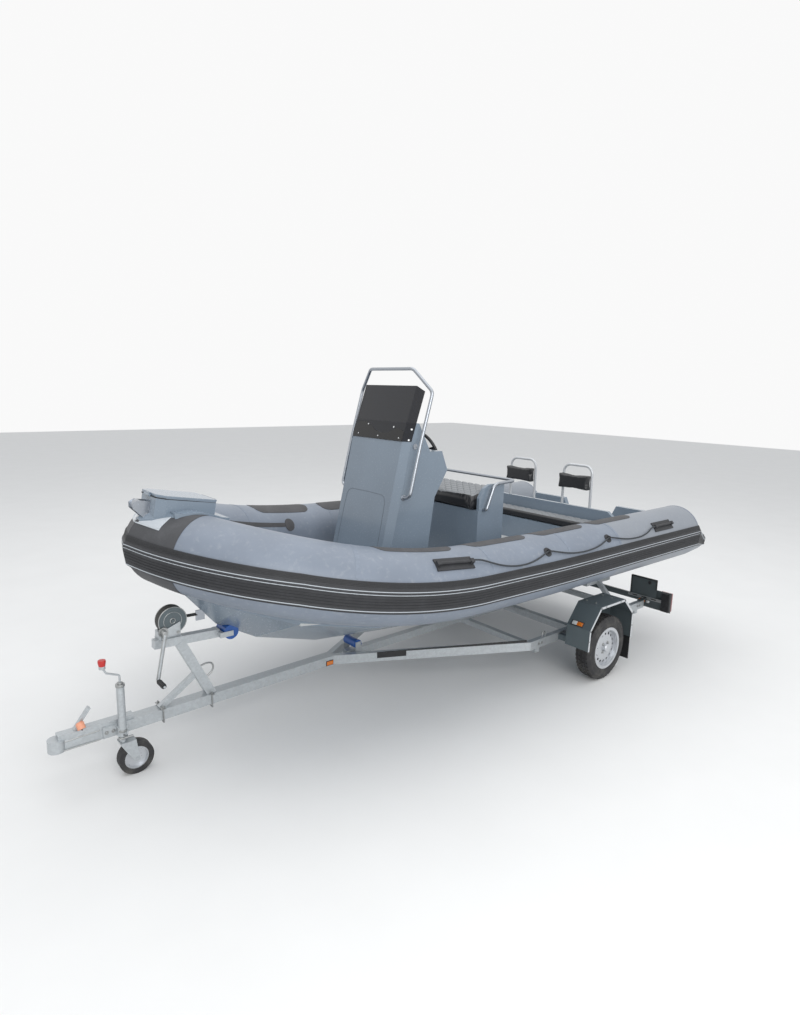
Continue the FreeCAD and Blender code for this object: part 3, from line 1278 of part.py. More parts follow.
wheel_r = S.jockey_wheel_radius
fork_top = 2 * wheel_r + 22
leg = disc("jockey_leg_tube", "z", S.jockey_leg_radius, (jx, jy, fork_top + S.running_gap),
           S.jockey_tube_top - 60 - fork_top)
node("jockey_leg", leg)
cheek_y = S.jockey_wheel_width / 2 + 4
fork_pieces = [block("fork_crown", (jx - 34 - S.jockey_trail / 2, jx + 26), (jy - cheek_y - 5, jy + cheek_y + 5),
                     (fork_top - 8, fork_top))]
for word, side in SIDES:
    low, high = (cheek_y, cheek_y + 5)
    if side < 0:
        low, high = -high, -low
    fork_pieces.append(outline("fork_cheek_" + word, "xz", [
        (jx - S.jockey_trail - 18, wheel_r - 14), (jx - S.jockey_trail + 18, wheel_r - 14), (jx + 26, fork_top - 8),
        (jx - 34 - S.jockey_trail / 2, fork_top - 8)], jy + low, jy + high))
fork_pieces.append(disc("fork_pin", "y", S.jockey_pin, (jx - S.jockey_trail, jy - cheek_y - 9, wheel_r),
                        2 * cheek_y + 18))
node("jockey_fork", *fork_pieces, joined=True)
wheel_half = S.jockey_wheel_width / 2
node("jockey_tyre", ring("jockey_tyre_ring", "y", wheel_r, wheel_r - 32, (jx - S.jockey_trail, jy - wheel_half, wheel_r),
                         S.jockey_wheel_width))
rim_bits = ring("jockey_rim_barrel", "y", wheel_r - 32, wheel_r - 38, (jx - S.jockey_trail, jy - wheel_half + 6, wheel_r),
                S.jockey_wheel_width - 12)
rim_disc = ring("jockey_rim_disc", "y", wheel_r - 37, S.jockey_pin + S.bearing_gap,
                (jx - S.jockey_trail, jy - 4, wheel_r), 8)
rim_hub = ring("jockey_rim_hub", "y", 20, S.jockey_pin + S.bearing_gap,
               (jx - S.jockey_trail, jy - wheel_half, wheel_r), S.jockey_wheel_width)
node("jockey_rim", rim_bits, rim_disc, rim_hub, joined=True)

# Winch post, arm, winch and bow stop

rail_top = S.rail_bend_z + 20
post = beam("post_form", [(S.post_foot_x, 0, rail_top - 5), (S.post_top_x, 0, S.post_top_z)], S.post_size,
            S.post_size, Vector(1, 0, 0))
brace_t = 0.42
brace_top = (S.post_foot_x + (S.post_top_x - S.post_foot_x) * brace_t, 0, rail_top + (S.post_top_z - rail_top) * brace_t)
brace = beam("brace_form", [(S.brace_foot_x, 0, rail_top - 10), brace_top], S.brace_size, S.brace_size,
             Vector(1, 0, 0))
node("winch_post", cut("winch_post_trimmed", fuse("post_and_brace", post, brace), rails_tool))
arm_bar = beam("arm_bar", [(S.arm_front_x, 0, S.arm_z), (S.arm_rear_x, 0, S.arm_z - 20)], S.arm_size, S.arm_size)
cheeks = [block("stop_cheek_" + word, (S.bow_stop_x - 12, S.arm_rear_x + 12),
                (side * 68 - 3, side * 68 + 3), (S.bow_stop_z - 26, S.bow_stop_z + 10)) for word, side in SIDES]
stop_back = block("stop_back", (S.arm_rear_x - 12, S.arm_rear_x + 12), (-71, 71), (S.bow_stop_z - 26, S.bow_stop_z + 10))
stop_roller = disc("stop_roller", "y", S.bow_stop_radius, (S.bow_stop_x, -65, S.bow_stop_z), 130)
node("bow_stop_roller", cut("bow_stop_trimmed", stop_roller, hull_form))
node("winch_arm", cut("winch_arm_trimmed", fuse("arm_and_cheeks", arm_bar, stop_back, *cheeks), post, hull_form,
                      stop_roller))

arm_top = S.arm_z + S.arm_size / 2 - 8
winch_cheeks = [block("winch_cheek_" + word, (S.drum_x - 60, S.drum_x + 90), (side * 36 - 2.5, side * 36 + 2.5),
                      (arm_top, S.drum_z + 34)) for word, side in SIDES]
winch_base = block("winch_base", (S.drum_x - 60, S.drum_x + 90), (-38, 38), (arm_top, arm_top + 6))
node("winch_frame", cut("winch_frame_trimmed", fuse("winch_frame_whole", winch_base, *winch_cheeks), arm_bar))
drum = disc("drum", "y", S.drum_radius, (S.drum_x, -S.drum_width / 2, S.drum_z + 10), S.drum_width)
node("winch_drum", cut("drum_trimmed", drum, winch_base, arm_bar))
crank_bar = rod("winch_crank_bar", [(S.drum_x + 66, 38.5, S.drum_z - 50), (S.drum_x + 66, 74, S.drum_z - 50),
                                    (S.drum_x + 128, 84, S.drum_z - 345), (S.drum_x + 128, 200, S.drum_z - 345)], 8, 18)
node("winch_crank", crank_bar)
strap = beam("strap_form", [(S.drum_x - S.drum_radius + 2, 0, S.drum_z + 12), (3131, 0, 925)], 48, 4)
node("winch_strap", cut("strap_trimmed", strap, drum, eye_plate))

# Side supports of the hull

support_pieces = []
for word, side in SIDES:
    low_y = S.rail_side_y
    arm = beam("support_arm_" + word, [(-S.support_x, side * (S.rail_side_y - 6), S.rail_rear_z + 30),
                                       (-S.support_x, side * 560, S.support_pad_z - 80)], 40, 40, Vector(1, 0, 0))
    support_pieces.append(arm)
    support_pieces.append(block("support_pad_" + word, (-S.support_x - 200, -S.support_x + 200),
                                (side * 560 - 40, side * 560 + 40), (S.support_pad_z - 130, S.support_pad_z)))
node("hull_supports", cut("hull_supports_trimmed", fuse("hull_supports_whole", *support_pieces), hull_form,
                          rails_tool))

# Light board and lamps

board = block("board", (-S.board_x - S.board_sheet, -S.board_x), (-S.board_half, S.board_half),
              (S.board_z - S.board_height / 2, S.board_z + S.board_height / 2))
board_parts = [board]
lamp_blocks = []
for word, side in SIDES:
    board_parts.append(block("board_arm_" + word, (-S.board_x, -S.rail_rear_x + 60),
                             (side * S.rail_side_y - 20, side * S.rail_side_y + 20),
                             (S.rail_rear_z + S.rail_height / 2, S.rail_rear_z + S.rail_height / 2 + 8)))
    low, high = (S.panel_inner, S.panel_outer)
    lamp_low, lamp_high = (S.panel_outer - 12 - S.lamp_length, S.panel_outer - 12)
    upper_low, upper_high = (S.panel_inner - 90, S.panel_inner + 190)
    if side < 0:
        low, high = -high, -low
        lamp_low, lamp_high = -lamp_high, -lamp_low
        upper_low, upper_high = -upper_high, -upper_low
    board_parts.append(block("lamp_plate_" + word, (-S.board_x - S.board_sheet - S.panel_sheet, -S.board_x - S.board_sheet),
                             (low, high), (S.panel_low, S.panel_high)))
    board_parts.append(block("upper_plate_" + word, (-S.board_x - S.panel_sheet, -S.board_x), (upper_low, upper_high),
                             (S.board_z, S.panel_high + 108)))
    lamp_front = -S.board_x - S.board_sheet - S.panel_sheet
    lamp_blocks.append(block("lamp_" + word, (lamp_front - 45, lamp_front), (lamp_low, lamp_high),
                             (S.panel_low + 8, S.panel_high - 8)))
node("light_board", *board_parts, joined=True)
node("tail_lamps", *lamp_blocks)

doc.recompute()

failures = []
for thing in doc.Objects:
    if "Invalid" in thing.State or "Error" in thing.State:
        failures.append("%s: %s" % (thing.Label, thing.State))
for thing in NODES:
    if thing.Shape.isNull() or not thing.Shape.isValid() or not thing.Shape.Solids:
        failures.append("%s: bad shape" % thing.Label)
if failures:
    raise RuntimeError("; ".join(failures))
if len({thing.Label for thing in NODES}) != len(NODES):
    raise RuntimeError("two sub-parts share a name")

for thing in NODES:
    thing.Shape.exportStep("parts/%s.step" % thing.Label)
print(len(NODES), "sub-parts written; origin is", float(MIDDLE_X), "mm ahead of the axle")
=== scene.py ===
import json
import math

import bpy
from bpy.props import FloatProperty, FloatVectorProperty, IntProperty, PointerProperty
from mathutils import Matrix, Vector


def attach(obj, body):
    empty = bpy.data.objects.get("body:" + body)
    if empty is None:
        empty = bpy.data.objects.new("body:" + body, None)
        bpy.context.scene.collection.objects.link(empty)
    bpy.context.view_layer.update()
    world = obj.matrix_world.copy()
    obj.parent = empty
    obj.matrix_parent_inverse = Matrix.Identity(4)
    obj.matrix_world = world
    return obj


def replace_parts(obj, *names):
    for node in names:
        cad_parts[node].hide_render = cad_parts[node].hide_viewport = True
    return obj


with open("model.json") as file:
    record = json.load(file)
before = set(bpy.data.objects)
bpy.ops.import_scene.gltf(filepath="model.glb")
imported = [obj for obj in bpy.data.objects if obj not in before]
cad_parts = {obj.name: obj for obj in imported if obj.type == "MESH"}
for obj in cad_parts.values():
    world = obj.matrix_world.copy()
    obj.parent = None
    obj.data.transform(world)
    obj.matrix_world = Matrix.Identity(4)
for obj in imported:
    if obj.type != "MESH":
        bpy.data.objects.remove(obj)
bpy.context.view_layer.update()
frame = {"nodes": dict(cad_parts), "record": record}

bl_info = {
    "name": "Rigid inflatable boat on its trailer",
    "version": (1, 0, 0),
    "blender": (4, 5, 0),
    "location": "View3D > Sidebar > Boat",
    "description": "Dresses the packed boat and trailer: fabrics, gelcoat, steel, cushions, lines and lamps",
    "category": "Object",
}

NODES = frame["nodes"]
BOAT = "boat_and_trailer"
# The road wheels' axle lies this far ahead of the frame's origin.
AXLE = -1.07
SIDES = (("port", 1), ("starboard", -1))


def linear(red, green, blue):
    """A colour given as eight bit screen values, as the renderer's linear values."""
    def channel(value):
        value = value / 255
        return value / 12.92 if value <= 0.04045 else ((value + 0.055) / 1.055) ** 2.4
    return (channel(red), channel(green), channel(blue), 1.0)


def tone(colour, factor):
    """A colour made darker or lighter."""
    return (colour[0] * factor, colour[1] * factor, colour[2] * factor, 1.0)


# Materials


class Value:
    """A number or colour that a material's nodes work out; arithmetic on it adds Math nodes."""

    def __init__(self, nodes, socket):
        self.nodes = nodes
        self.socket = socket

    def math(self, operation, other):
        return self.nodes.node("ShaderNodeMath", {"operation": operation}, {0: self, 1: other})

    def __add__(self, other):
        return self.math("ADD", other)

    __radd__ = __add__

    def __mul__(self, other):
        return self.math("MULTIPLY", other)

    __rmul__ = __mul__

    def ramp(self, low, high, start=0.0, end=1.0):
        """Smoothly from start to end while the value goes from low to high."""
        values = {"Value": self, "From Min": low, "From Max": high, "To Min": start, "To Max": end}
        return self.nodes.node("ShaderNodeMapRange", {"interpolation_type": "SMOOTHSTEP"}, values)


class Nodes:
    """A node tree under construction."""

    def __init__(self, owner):
        owner.use_nodes = True
        self.tree = owner.node_tree
        self.tree.nodes.clear()

    def node(self, kind, settings=None, values=None, output=0):
        """Adds one node: its settings first, then the values or links of its sockets."""
        made = self.tree.nodes.new(kind)
        for key, value in (settings or {}).items():
            setattr(made, key, value)
        for key, value in (values or {}).items():
            self.put(made.inputs[key], value)
        return Value(self, made.outputs[output]) if made.outputs else made

    def put(self, socket, value):
        if isinstance(value, Value):
            self.tree.links.new(value.socket, socket)
        else:
            socket.default_value = value


class Finish(Nodes):
    """A material under construction; shade() sets its surface and gives the material."""

    def __init__(self, name):
        self.material = bpy.data.materials.new(name)
        super().__init__(self.material)
        self.surface = self.tree.nodes.new("ShaderNodeBsdfPrincipled")
        output = self.tree.nodes.new("ShaderNodeOutputMaterial")
        self.tree.links.new(self.surface.outputs[0], output.inputs["Surface"])

    def shade(self, base_color, roughness, **values):
        """Sets the surface's sockets, named with underscores for spaces."""
        for key, value in dict(values, base_color=base_color, roughness=roughness).items():
            self.put(self.surface.inputs[key.replace("_", " ").title()], value)
        return self.material

    def point(self):
        return self.node("ShaderNodeTexCoord", output="Object")

    def place(self, scale=(1, 1, 1)):
        """The point on the object, in metres, scaled."""
        return self.node("ShaderNodeMapping", {}, {"Vector": self.point(), "Scale": scale})

    def axis(self, name):
        """The point's X, Y or Z in metres."""
        return self.node("ShaderNodeSeparateXYZ", {}, {"Vector": self.point()}, output=name)

    def noise(self, size, detail=2.0, roughness=0.5, where=None, distortion=0.0):
        """Soft cloudy noise from 0 to 1; size is its scale per metre."""
        values = {"Vector": where or self.place(), "Scale": size, "Detail": detail, "Roughness": roughness,
                  "Distortion": distortion}
        return self.node("ShaderNodeTexNoise", {}, values)

    def cells(self, size, feature="F1", output=0):
        values = {"Vector": self.place(), "Scale": size}
        return self.node("ShaderNodeTexVoronoi", {"feature": feature}, values, output)

    def bands(self, direction, size, distortion=0.0):
        values = {"Vector": self.place(), "Scale": size, "Distortion": distortion}
        return self.node("ShaderNodeTexWave", {"wave_type": "BANDS", "bands_direction": direction}, values)

    def mix(self, amount, low, high):
        """From one colour to the other."""
        settings = {"data_type": "RGBA", "blend_type": "MIX"}
        return self.node("ShaderNodeMix", settings, {0: amount, 6: low, 7: high}, output=2)

    def tones(self, amount, colour, low, high):
        """From one tone of a colour to another."""
        return self.mix(amount, tone(colour, low), tone(colour, high))

    def bump(self, height, distance, strength=1.0, after=None):
        values = {"Height": height, "Distance": distance, "Strength": strength}
        if after is not None:
            values["Normal"] = after
        return self.node("ShaderNodeBump", {}, values)


def uneven(name, colour, roughness, metallic=0.0, coat=0.0, grain=60.0):
    """A slightly uneven finish: colour and gloss vary a little over the surface."""
    finish = Finish(name)
    cloud = finish.noise(grain, 4.0, 0.6)
    tint = finish.tones((cloud + finish.noise(grain / 12)) * 0.5, colour, 0.9, 1.1)
    return finish.shade(tint, cloud * 0.15 + (roughness - 0.075), metallic=metallic, coat_weight=coat,
                        coat_roughness=0.1, normal=finish.bump(cloud, 0.0002))


def tube_fabric(name, colour):
    """Coated fabric: a fine weave under a satin coat, dusty, the aft panel a little browner."""
    finish = Finish(name)
    weave = finish.bands("X", 190.0, 0.6) * finish.bands("Z", 190.0, 0.6)
    cloud = finish.noise(3.0, 4.0, 0.55)
    dust = finish.noise(28.0, 5.0, 0.65)
    tint = finish.tones(cloud.ramp(0.3, 0.7), colour, 0.94, 1.05)
    aft = finish.axis("X").ramp(-1.104, -1.096, 1.0, 0.0)
    tint = finish.mix(aft * 0.5, tint, linear(143, 146, 150))
    tint = finish.mix(dust.ramp(0.5, 0.8) * 0.3, tint, linear(172, 176, 180))
    normal = finish.bump(cloud, 0.012, 0.25, after=finish.bump(weave, 0.0002, 0.3))
    return finish.shade(tint, dust * 0.18 + 0.36, coat_weight=0.12, coat_roughness=0.3, normal=normal)


def tube_tape(name, colour):
    """The same fabric as glued tape, a shade lighter."""
    finish = Finish(name)
    dust = finish.noise(40.0, 4.0, 0.6)
    tint = finish.tones(dust.ramp(0.4, 0.7), colour, 1.0, 1.16)
    return finish.shade(tint, dust * 0.15 + 0.42, normal=finish.bump(dust, 0.0005, 0.5))


def grip_pad(name, colour):
    """Brown-grey non-slip rubber: a fine grain that holds pale dust."""
    finish = Finish(name)
    grain = finish.cells(260.0)
    tint = finish.tones(finish.noise(7.0, 5.0, 0.65).ramp(0.35, 0.75) * 0.7, colour, 1.0, 1.55)
    tint = finish.mix(grain.ramp(0.2, 0.7) * 0.3, tint, tone(colour, 0.6))
    return finish.shade(tint, finish.noise(120.0) * 0.15 + 0.62, normal=finish.bump(grain, 0.0006, 0.6))


def strake_rubber(name, colour):
    """Dull extruded rubber with dust in its grain."""
    finish = Finish(name)
    grain = finish.noise(180.0, 3.0)
    tint = finish.tones(finish.noise(9.0, 5.0, 0.7).ramp(0.45, 0.75) * 0.45, colour, 1.0, 1.8)
    return finish.shade(tint, grain * 0.2 + 0.5, normal=finish.bump(grain, 0.0003))


def gelcoat(name, colour):
    """Smooth moulded gelcoat: long soft waves and a clear sheen."""
    finish = Finish(name)
    wave = finish.noise(2.2)
    speck = finish.noise(90.0, 4.0, 0.7)
    tint = finish.tones(wave.ramp(0.3, 0.7), colour, 0.95, 1.05)
    tint = finish.mix(speck.ramp(0.62, 0.8) * 0.2, tint, linear(170, 176, 182))
    return finish.shade(tint, speck * 0.12 + 0.2, coat_weight=0.3, coat_roughness=0.1,
                        normal=finish.bump(wave, 0.004, 0.3))


def deck_gelcoat(name, colour):
    """Moulded non-slip deck: small raised pips on pale gelcoat, dirtier in patches."""
    finish = Finish(name)
    dirt = finish.noise(6.0, 5.0, 0.65)
    tint = finish.tones(dirt.ramp(0.35, 0.8) * 0.5, colour, 1.0, 0.72)
    return finish.shade(tint, dirt * 0.2 + 0.4, normal=finish.bump(finish.cells(110.0), 0.0008, 0.5))


def galvanised(name, colour):
    """Hot dip galvanised steel: large faceted spangle, bright in places and dull in others."""
    finish = Finish(name)
    facet = finish.node("ShaderNodeSeparateColor", {}, {"Color": finish.cells(75.0, output="Color")})
    streak = finish.noise(4.0, 5.0, 0.65, where=finish.place((1, 1, 0.3)))
    tint = finish.tones(facet * 0.55 + streak * 0.45, colour, 0.86, 1.10)
    tint = finish.mix(finish.noise(14.0, 5.0, 0.7).ramp(0.6, 0.8) * 0.35, tint, linear(120, 118, 110))
    return finish.shade(tint, facet * 0.12 + 0.34, metallic=0.55, normal=finish.bump(streak, 0.0006))


def stainless(name, colour, roughness):
    """Drawn and polished metal with faint lines along it."""
    finish = Finish(name)
    brush = finish.noise(300.0, where=finish.place((1, 1, 0.1)))
    return finish.shade(finish.tones(brush, colour, 0.9, 1.0), brush * 0.08 + roughness, metallic=1.0,
                        normal=finish.bump(brush, 0.0001, 0.3))


def tinted_screen(name, colour):
    """Dark tinted acrylic that mirrors its surroundings."""
    finish = Finish(name)
    smear = finish.noise(7.0, 4.0, 0.6)
    tint = finish.mix(smear, colour, linear(24, 27, 36))
    return finish.shade(tint, smear * 0.08 + 0.03, alpha=smear * 0.05 + 0.87)


def cushion_cloth(name, colour, roughness):
    """Marine leathercloth: a pebbled grain with soft creases."""
    finish = Finish(name)
    crease = finish.noise(16.0, 4.0, 0.6, distortion=1.2)
    dust = finish.noise(5.0, 5.0, 0.6)
    tint = finish.tones(crease * 0.5 + dust * 0.5, colour, 0.86, 1.14)
    pebble = finish.bump(finish.cells(420.0, "SMOOTH_F1"), 0.0003, 0.5)
    return finish.shade(tint, dust * 0.12 + roughness, normal=finish.bump(crease, 0.004, 0.35, after=pebble))


def banded(name, colour, direction, size, distortion, share, low, high, grain, roughness, height, strength):
    """Rope and webbing: strands or woven rows, with fuzzy dirt."""
    finish = Finish(name)
    rows = finish.bands(direction, size, distortion)
    dirt = finish.noise(grain, 4.0, 0.7)
    tint = finish.tones(rows * share + dirt * (1 - share), colour, low, high)
    return finish.shade(tint, dirt * 0.1 + roughness, normal=finish.bump(rows, height, strength))


def tyre_rubber(name, colour):
    """Worn road rubber, grey with dust on its flank."""
    finish = Finish(name)
    fine = finish.noise(150.0, 3.0)
    tint = finish.mix(finish.noise(11.0, 5.0, 0.65).ramp(0.4, 0.75) * 0.6, colour, linear(92, 90, 86))
    return finish.shade(tint, fine * 0.15 + 0.62, normal=finish.bump(fine, 0.0003))


def lens(name, colour):
    """Moulded lamp lens with prism rows under a clear gloss."""
    finish = Finish(name)
    prism = finish.bands("Z", 60.0) * finish.bands("Y", 60.0)
    return finish.shade(finish.tones(prism, colour, 0.6, 1.25), prism * 0.1 + 0.12, coat_weight=0.6,
                        coat_roughness=0.05, normal=finish.bump(prism, 0.0012, 0.6))


# Every material by name: its maker, its screen colour or the setting that holds it, and the maker's other
# values in order; for an uneven finish they are its roughness, metal, coat and grain.
MATERIALS = {
    "tube_fabric": (tube_fabric, "tube"),
    "tube_tape": (tube_tape, "tube"),
    "grip_pad": (grip_pad, (72, 72, 74)),
    "nose_rubber": (strake_rubber, (66, 67, 70)),
    "strake_rubber": (strake_rubber, "strake"),
    "strake_rib": (strake_rubber, (40, 41, 43)),
    "strake_light": (uneven, (176, 182, 188), 0.45),
    "hull_gelcoat": (gelcoat, "hull"),
    "deck_gelcoat": (deck_gelcoat, (196, 198, 198)),
    "light_gelcoat": (gelcoat, (190, 196, 202)),
    "tinted_screen": (tinted_screen, (12, 14, 20)),
    "stainless": (stainless, (168, 173, 180), 0.26),
    "bright_steel": (stainless, (226, 228, 230), 0.30),
    "zinc_bolt": (stainless, (170, 172, 172), 0.34),
    "light_frame": (uneven, (196, 199, 202), 0.32, 0.2, 0.2),
    "black_cushion": (cushion_cloth, (34, 35, 38), 0.34),
    "grey_cushion": (cushion_cloth, (132, 135, 138), 0.42),
    "line_rope": (banded, (58, 62, 66), "DIAGONAL", 45.0, 0.4, 0.7, 0.55, 1.3, 30.0, 0.75, 0.002, 0.8),
    "black_plastic": (uneven, (33, 34, 36), 0.45),
    "strip_black": (uneven, (12, 12, 14), 0.22),
    "joint_grey": (uneven, (88, 97, 107), 0.4),
    "soft_black": (uneven, (24, 24, 26), 0.7, 0.0, 0.0, 200.0),
    "guard_plastic": (uneven, (92, 102, 106), 0.4, 0.35),
    "board_grey": (uneven, (78, 86, 88), 0.4, 0.2),
    "galvanised": (galvanised, "steel"),
    "blue_roller": (uneven, (24, 78, 150), 0.4, 0.0, 0.15),
    "white_roller": (uneven, (206, 206, 200), 0.4),
    "rim_steel": (uneven, (196, 199, 203), 0.3, 0.55),
    "tyre_rubber": (tyre_rubber, (42, 42, 44)),
    "strap_web": (banded, (66, 66, 64), "Z", 110.0, 0.3, 0.6, 0.6, 1.35, 25.0, 0.7, 0.0008, 0.7),
    "red_lens": (lens, (158, 22, 20)),
    "amber_lens": (lens, (222, 120, 24)),
    "white_lens": (lens, (212, 216, 216)),
    "red_knob": (uneven, (186, 36, 34), 0.35, 0.0, 0.2),
    "peach_plug": (uneven, (226, 158, 128), 0.5),
    "bare_label": (uneven, (26, 26, 28), 0.3, 0.0, 0.3),
    "dial_face": (uneven, (226, 228, 224), 0.3, 0.0, 0.5),
}
FINISHES = {}


def make_finishes():
    for name, (maker, colour, *rest) in MATERIALS.items():
        setting = isinstance(colour, str)
        shade = getattr(bpy.context.scene.boat_colours, colour) if setting else linear(*colour)
        FINISHES[name] = maker(name, shade, *rest)


# Settings


def colour_setting(name, description, colour):
    return FloatVectorProperty(name=name, description=description, subtype="COLOR", size=4, min=0.0, max=1.0,
                               default=colour)


def length_setting(name, description, metres):
    return FloatProperty(name=name, description=description, default=metres, unit="LENGTH", precision=4)


class BoatColours(bpy.types.PropertyGroup):
    tube: colour_setting("Tubes", "Colour of the inflated tubes", linear(122, 131, 144))
    strake: colour_setting("Strakes", "Colour of the rubbing strakes", linear(46, 47, 50))
    hull: colour_setting("Hull", "Colour of the hull's and console's gelcoat", linear(122, 135, 148))
    steel: colour_setting("Steel", "Colour of the galvanised trailer", linear(184, 189, 192))


class BoatStage(bpy.types.PropertyGroup):
    floor_size: length_setting("Floor", "Width of the floor", 60.0)


class BoatTubes(bpy.types.PropertyGroup):
    pad_length: length_setting("Pad length", "Length of a grip pad on the tubes", 0.63)
    pad_width: length_setting("Pad width", "Width of a grip pad on the tubes", 0.20)
    seam_width: length_setting("Seam width", "Width of the tape over a tube seam", 0.028)
    bead: length_setting("Strake bead", "Radius of the light beads on the strake", 0.0035)


class BoatCushions(bpy.types.PropertyGroup):
    voxel: length_setting("Voxel", "Voxel size of the remeshed cushions", 0.006)
    pressure: FloatProperty(name="Pressure", description="Pressure that fills the cushions", default=4.0)
    steps: IntProperty(name="Steps", description="Steps of the cloth simulation", default=20)
    pads_swell: length_setting("Pad swell", "How far a pad's skin may move", 0.012)
    seat_swell: length_setting("Seat swell", "How far a seat's skin may move", 0.024)


# Tools for making pieces


def nothing_selected():
    bpy.ops.object.select_all(action="DESELECT")


def pick(piece):
    """Selects one piece alone."""
    nothing_selected()
    piece.select_set(True)
    bpy.context.view_layer.objects.active = piece
    return piece


def named(piece, name):
    piece.name = name
    piece.data.name = name
    return piece


def settled(name):
    """Names the new piece and moves its place, turn and size into its mesh."""
    piece = pick(named(bpy.context.object, name))
    bpy.ops.object.transform_apply(location=True, rotation=True, scale=True)
    return piece


def radians(angles):
    return [math.radians(angle) for angle in angles]


AXIS_TURN = {"x": (0, 90, 0), "y": (90, 0, 0), "z": (0, 0, 0)}


def block(name, middle, size, turn=(0, 0, 0)):
    nothing_selected()
    bpy.ops.mesh.primitive_cube_add(size=1, location=middle, rotation=radians(turn))
    bpy.context.object.scale = size
    return settled(name)


def rod(name, middle, radius, length, axis="z", sides=32, turn=None):
    nothing_selected()
    bpy.ops.mesh.primitive_cylinder_add(vertices=sides, radius=radius, depth=length, location=middle,
                                        rotation=radians(turn or AXIS_TURN[axis]))
    return settled(name)


def hoop(name, middle, radius, thickness, axis="z", around=64, section=12):
    nothing_selected()
    bpy.ops.mesh.primitive_torus_add(major_radius=radius, minor_radius=thickness, major_segments=around,
                                     minor_segments=section, location=middle,
                                     rotation=radians(AXIS_TURN[axis]))
    return settled(name)


def sheet_grid(name, size, cuts):
    """A flat grid, its own length along x and its width along y."""
    nothing_selected()
    bpy.ops.mesh.primitive_grid_add(x_subdivisions=cuts[0], y_subdivisions=cuts[1], size=1)
    bpy.context.object.scale = (size[0], size[1], 1)
    return settled(name)


def modify(piece, kind, **settings):
    """Adds a modifier and applies it."""
    modifier = piece.modifiers.new(kind.title(), kind)
    for key, value in settings.items():
        setattr(modifier, key, value)
    pick(piece)
    bpy.ops.object.modifier_apply(modifier=modifier.name)
    return piece


def rounded(piece, width, segments=2, angle=35):
    return modify(piece, "BEVEL", width=width, segments=segments, limit_method="ANGLE",
                  angle_limit=math.radians(angle))


def smooth(piece, angle=35):
    pick(piece)
    bpy.ops.object.shade_smooth_by_angle(angle=math.radians(angle))
    return piece


def edit(piece, choose, *steps):
    """Selects the faces that a test picks, then runs edit mode's operators on them."""
    pick(piece)
    bpy.context.tool_settings.mesh_select_mode = (False, False, True)
    bpy.ops.object.mode_set(mode="EDIT")
    bpy.ops.mesh.select_all(action="DESELECT")
    bpy.ops.object.mode_set(mode="OBJECT")
    for face in piece.data.polygons:
        face.select = bool(choose(face))
    bpy.ops.object.mode_set(mode="EDIT")
    for step in steps:
        step()
    bpy.ops.object.mode_set(mode="OBJECT")
    return piece


def edit_whole(piece, *steps):
    """Runs edit mode's operators on all of a piece."""
    pick(piece)
    bpy.context.tool_settings.mesh_select_mode = (True, False, False)
    bpy.ops.object.mode_set(mode="EDIT")
    for step in steps:
        bpy.ops.mesh.select_all(action="SELECT")
        step()
    bpy.ops.object.mode_set(mode="OBJECT")
    return piece


def inset(width):
    return lambda: bpy.ops.mesh.inset(thickness=width, depth=0.0)


def extrude(x=0.0, y=0.0, z=0.0):
    return lambda: bpy.ops.mesh.extrude_region_move(TRANSFORM_OT_translate={"value": (x, y, z)})


def scale(x=1.0, y=1.0, z=1.0, **options):
    return lambda: bpy.ops.transform.resize(value=(x, y, z), **options)


def merge(distance):
    return lambda: bpy.ops.mesh.remove_doubles(threshold=distance)


def face_outwards():
    bpy.ops.mesh.normals_make_consistent(inside=False)


def facing(axis, sign):
    """A test for faces whose normal points along an axis."""
    number = "xyz".index(axis)
    return lambda face: face.normal[number] * sign > 0.9


def joined(name, pieces):
    nothing_selected()
    for piece in pieces:
        piece.select_set(True)
    bpy.context.view_layer.objects.active = pieces[0]
    bpy.ops.object.join()
    return named(bpy.context.object, name)


def copied(piece, name, mirrored=False):
    """A copy with its own mesh, as it is or mirrored to the other side."""
    twin = piece.copy()
    twin.data = piece.data.copy()
    named(twin, name)
    bpy.context.scene.collection.objects.link(twin)
    if mirrored:
        twin.data.transform(Matrix.Scale(-1, 4, (0, 1, 0)))
        twin.data.flip_normals()
    return twin


def curve_line(name, points, kind="POLY", closed=False):
    """A curve through points, picked."""
    curve = bpy.data.curves.new(name, "CURVE")
    curve.dimensions = "3D"
    spline = curve.splines.new(kind)
    spline.points.add(len(points) - 1)
    for target, point in zip(spline.points, points):
        target.co = (*point, 1)
    spline.use_cyclic_u = closed
    line = bpy.data.objects.new(name, curve)
    bpy.context.scene.collection.objects.link(line)
    return pick(line)


def made_mesh():
    bpy.ops.object.convert(target="MESH")
    return bpy.context.object


def wire(name, points, thickness, closed=False, kind="POLY", section=3):
    """A round bar along points, made a mesh."""
    curve = curve_line(name, points, kind, closed).data
    if kind == "NURBS":
        curve.splines[0].order_u = 4
        curve.splines[0].use_endpoint_u = not closed
        curve.splines[0].resolution_u = 6
    curve.bevel_depth = thickness
    curve.bevel_resolution = section
    curve.use_fill_caps = not closed
    return smooth(made_mesh(), 60)


def fit(piece, finish, body=BOAT):
    """Gives a finished piece its material and the body that it moves with."""
    piece.data.materials.clear()
    piece.data.materials.append(FINISHES[finish])
    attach(piece, body)
    return piece


def at_centreline(piece, side):
    """Cuts a piece off at the boat's centreline."""
    return edit_whole(piece, lambda: bpy.ops.mesh.bisect(plane_co=(0, 0, 0), plane_no=(0, side, 0),
                                                         use_fill=False, clear_inner=True))


def bounds_of(piece):
    places = [corner.co for corner in piece.data.vertices]
    low = Vector([min(place[axis] for place in places) for axis in range(3)])
    high = Vector([max(place[axis] for place in places) for axis in range(3)])
    return low, high


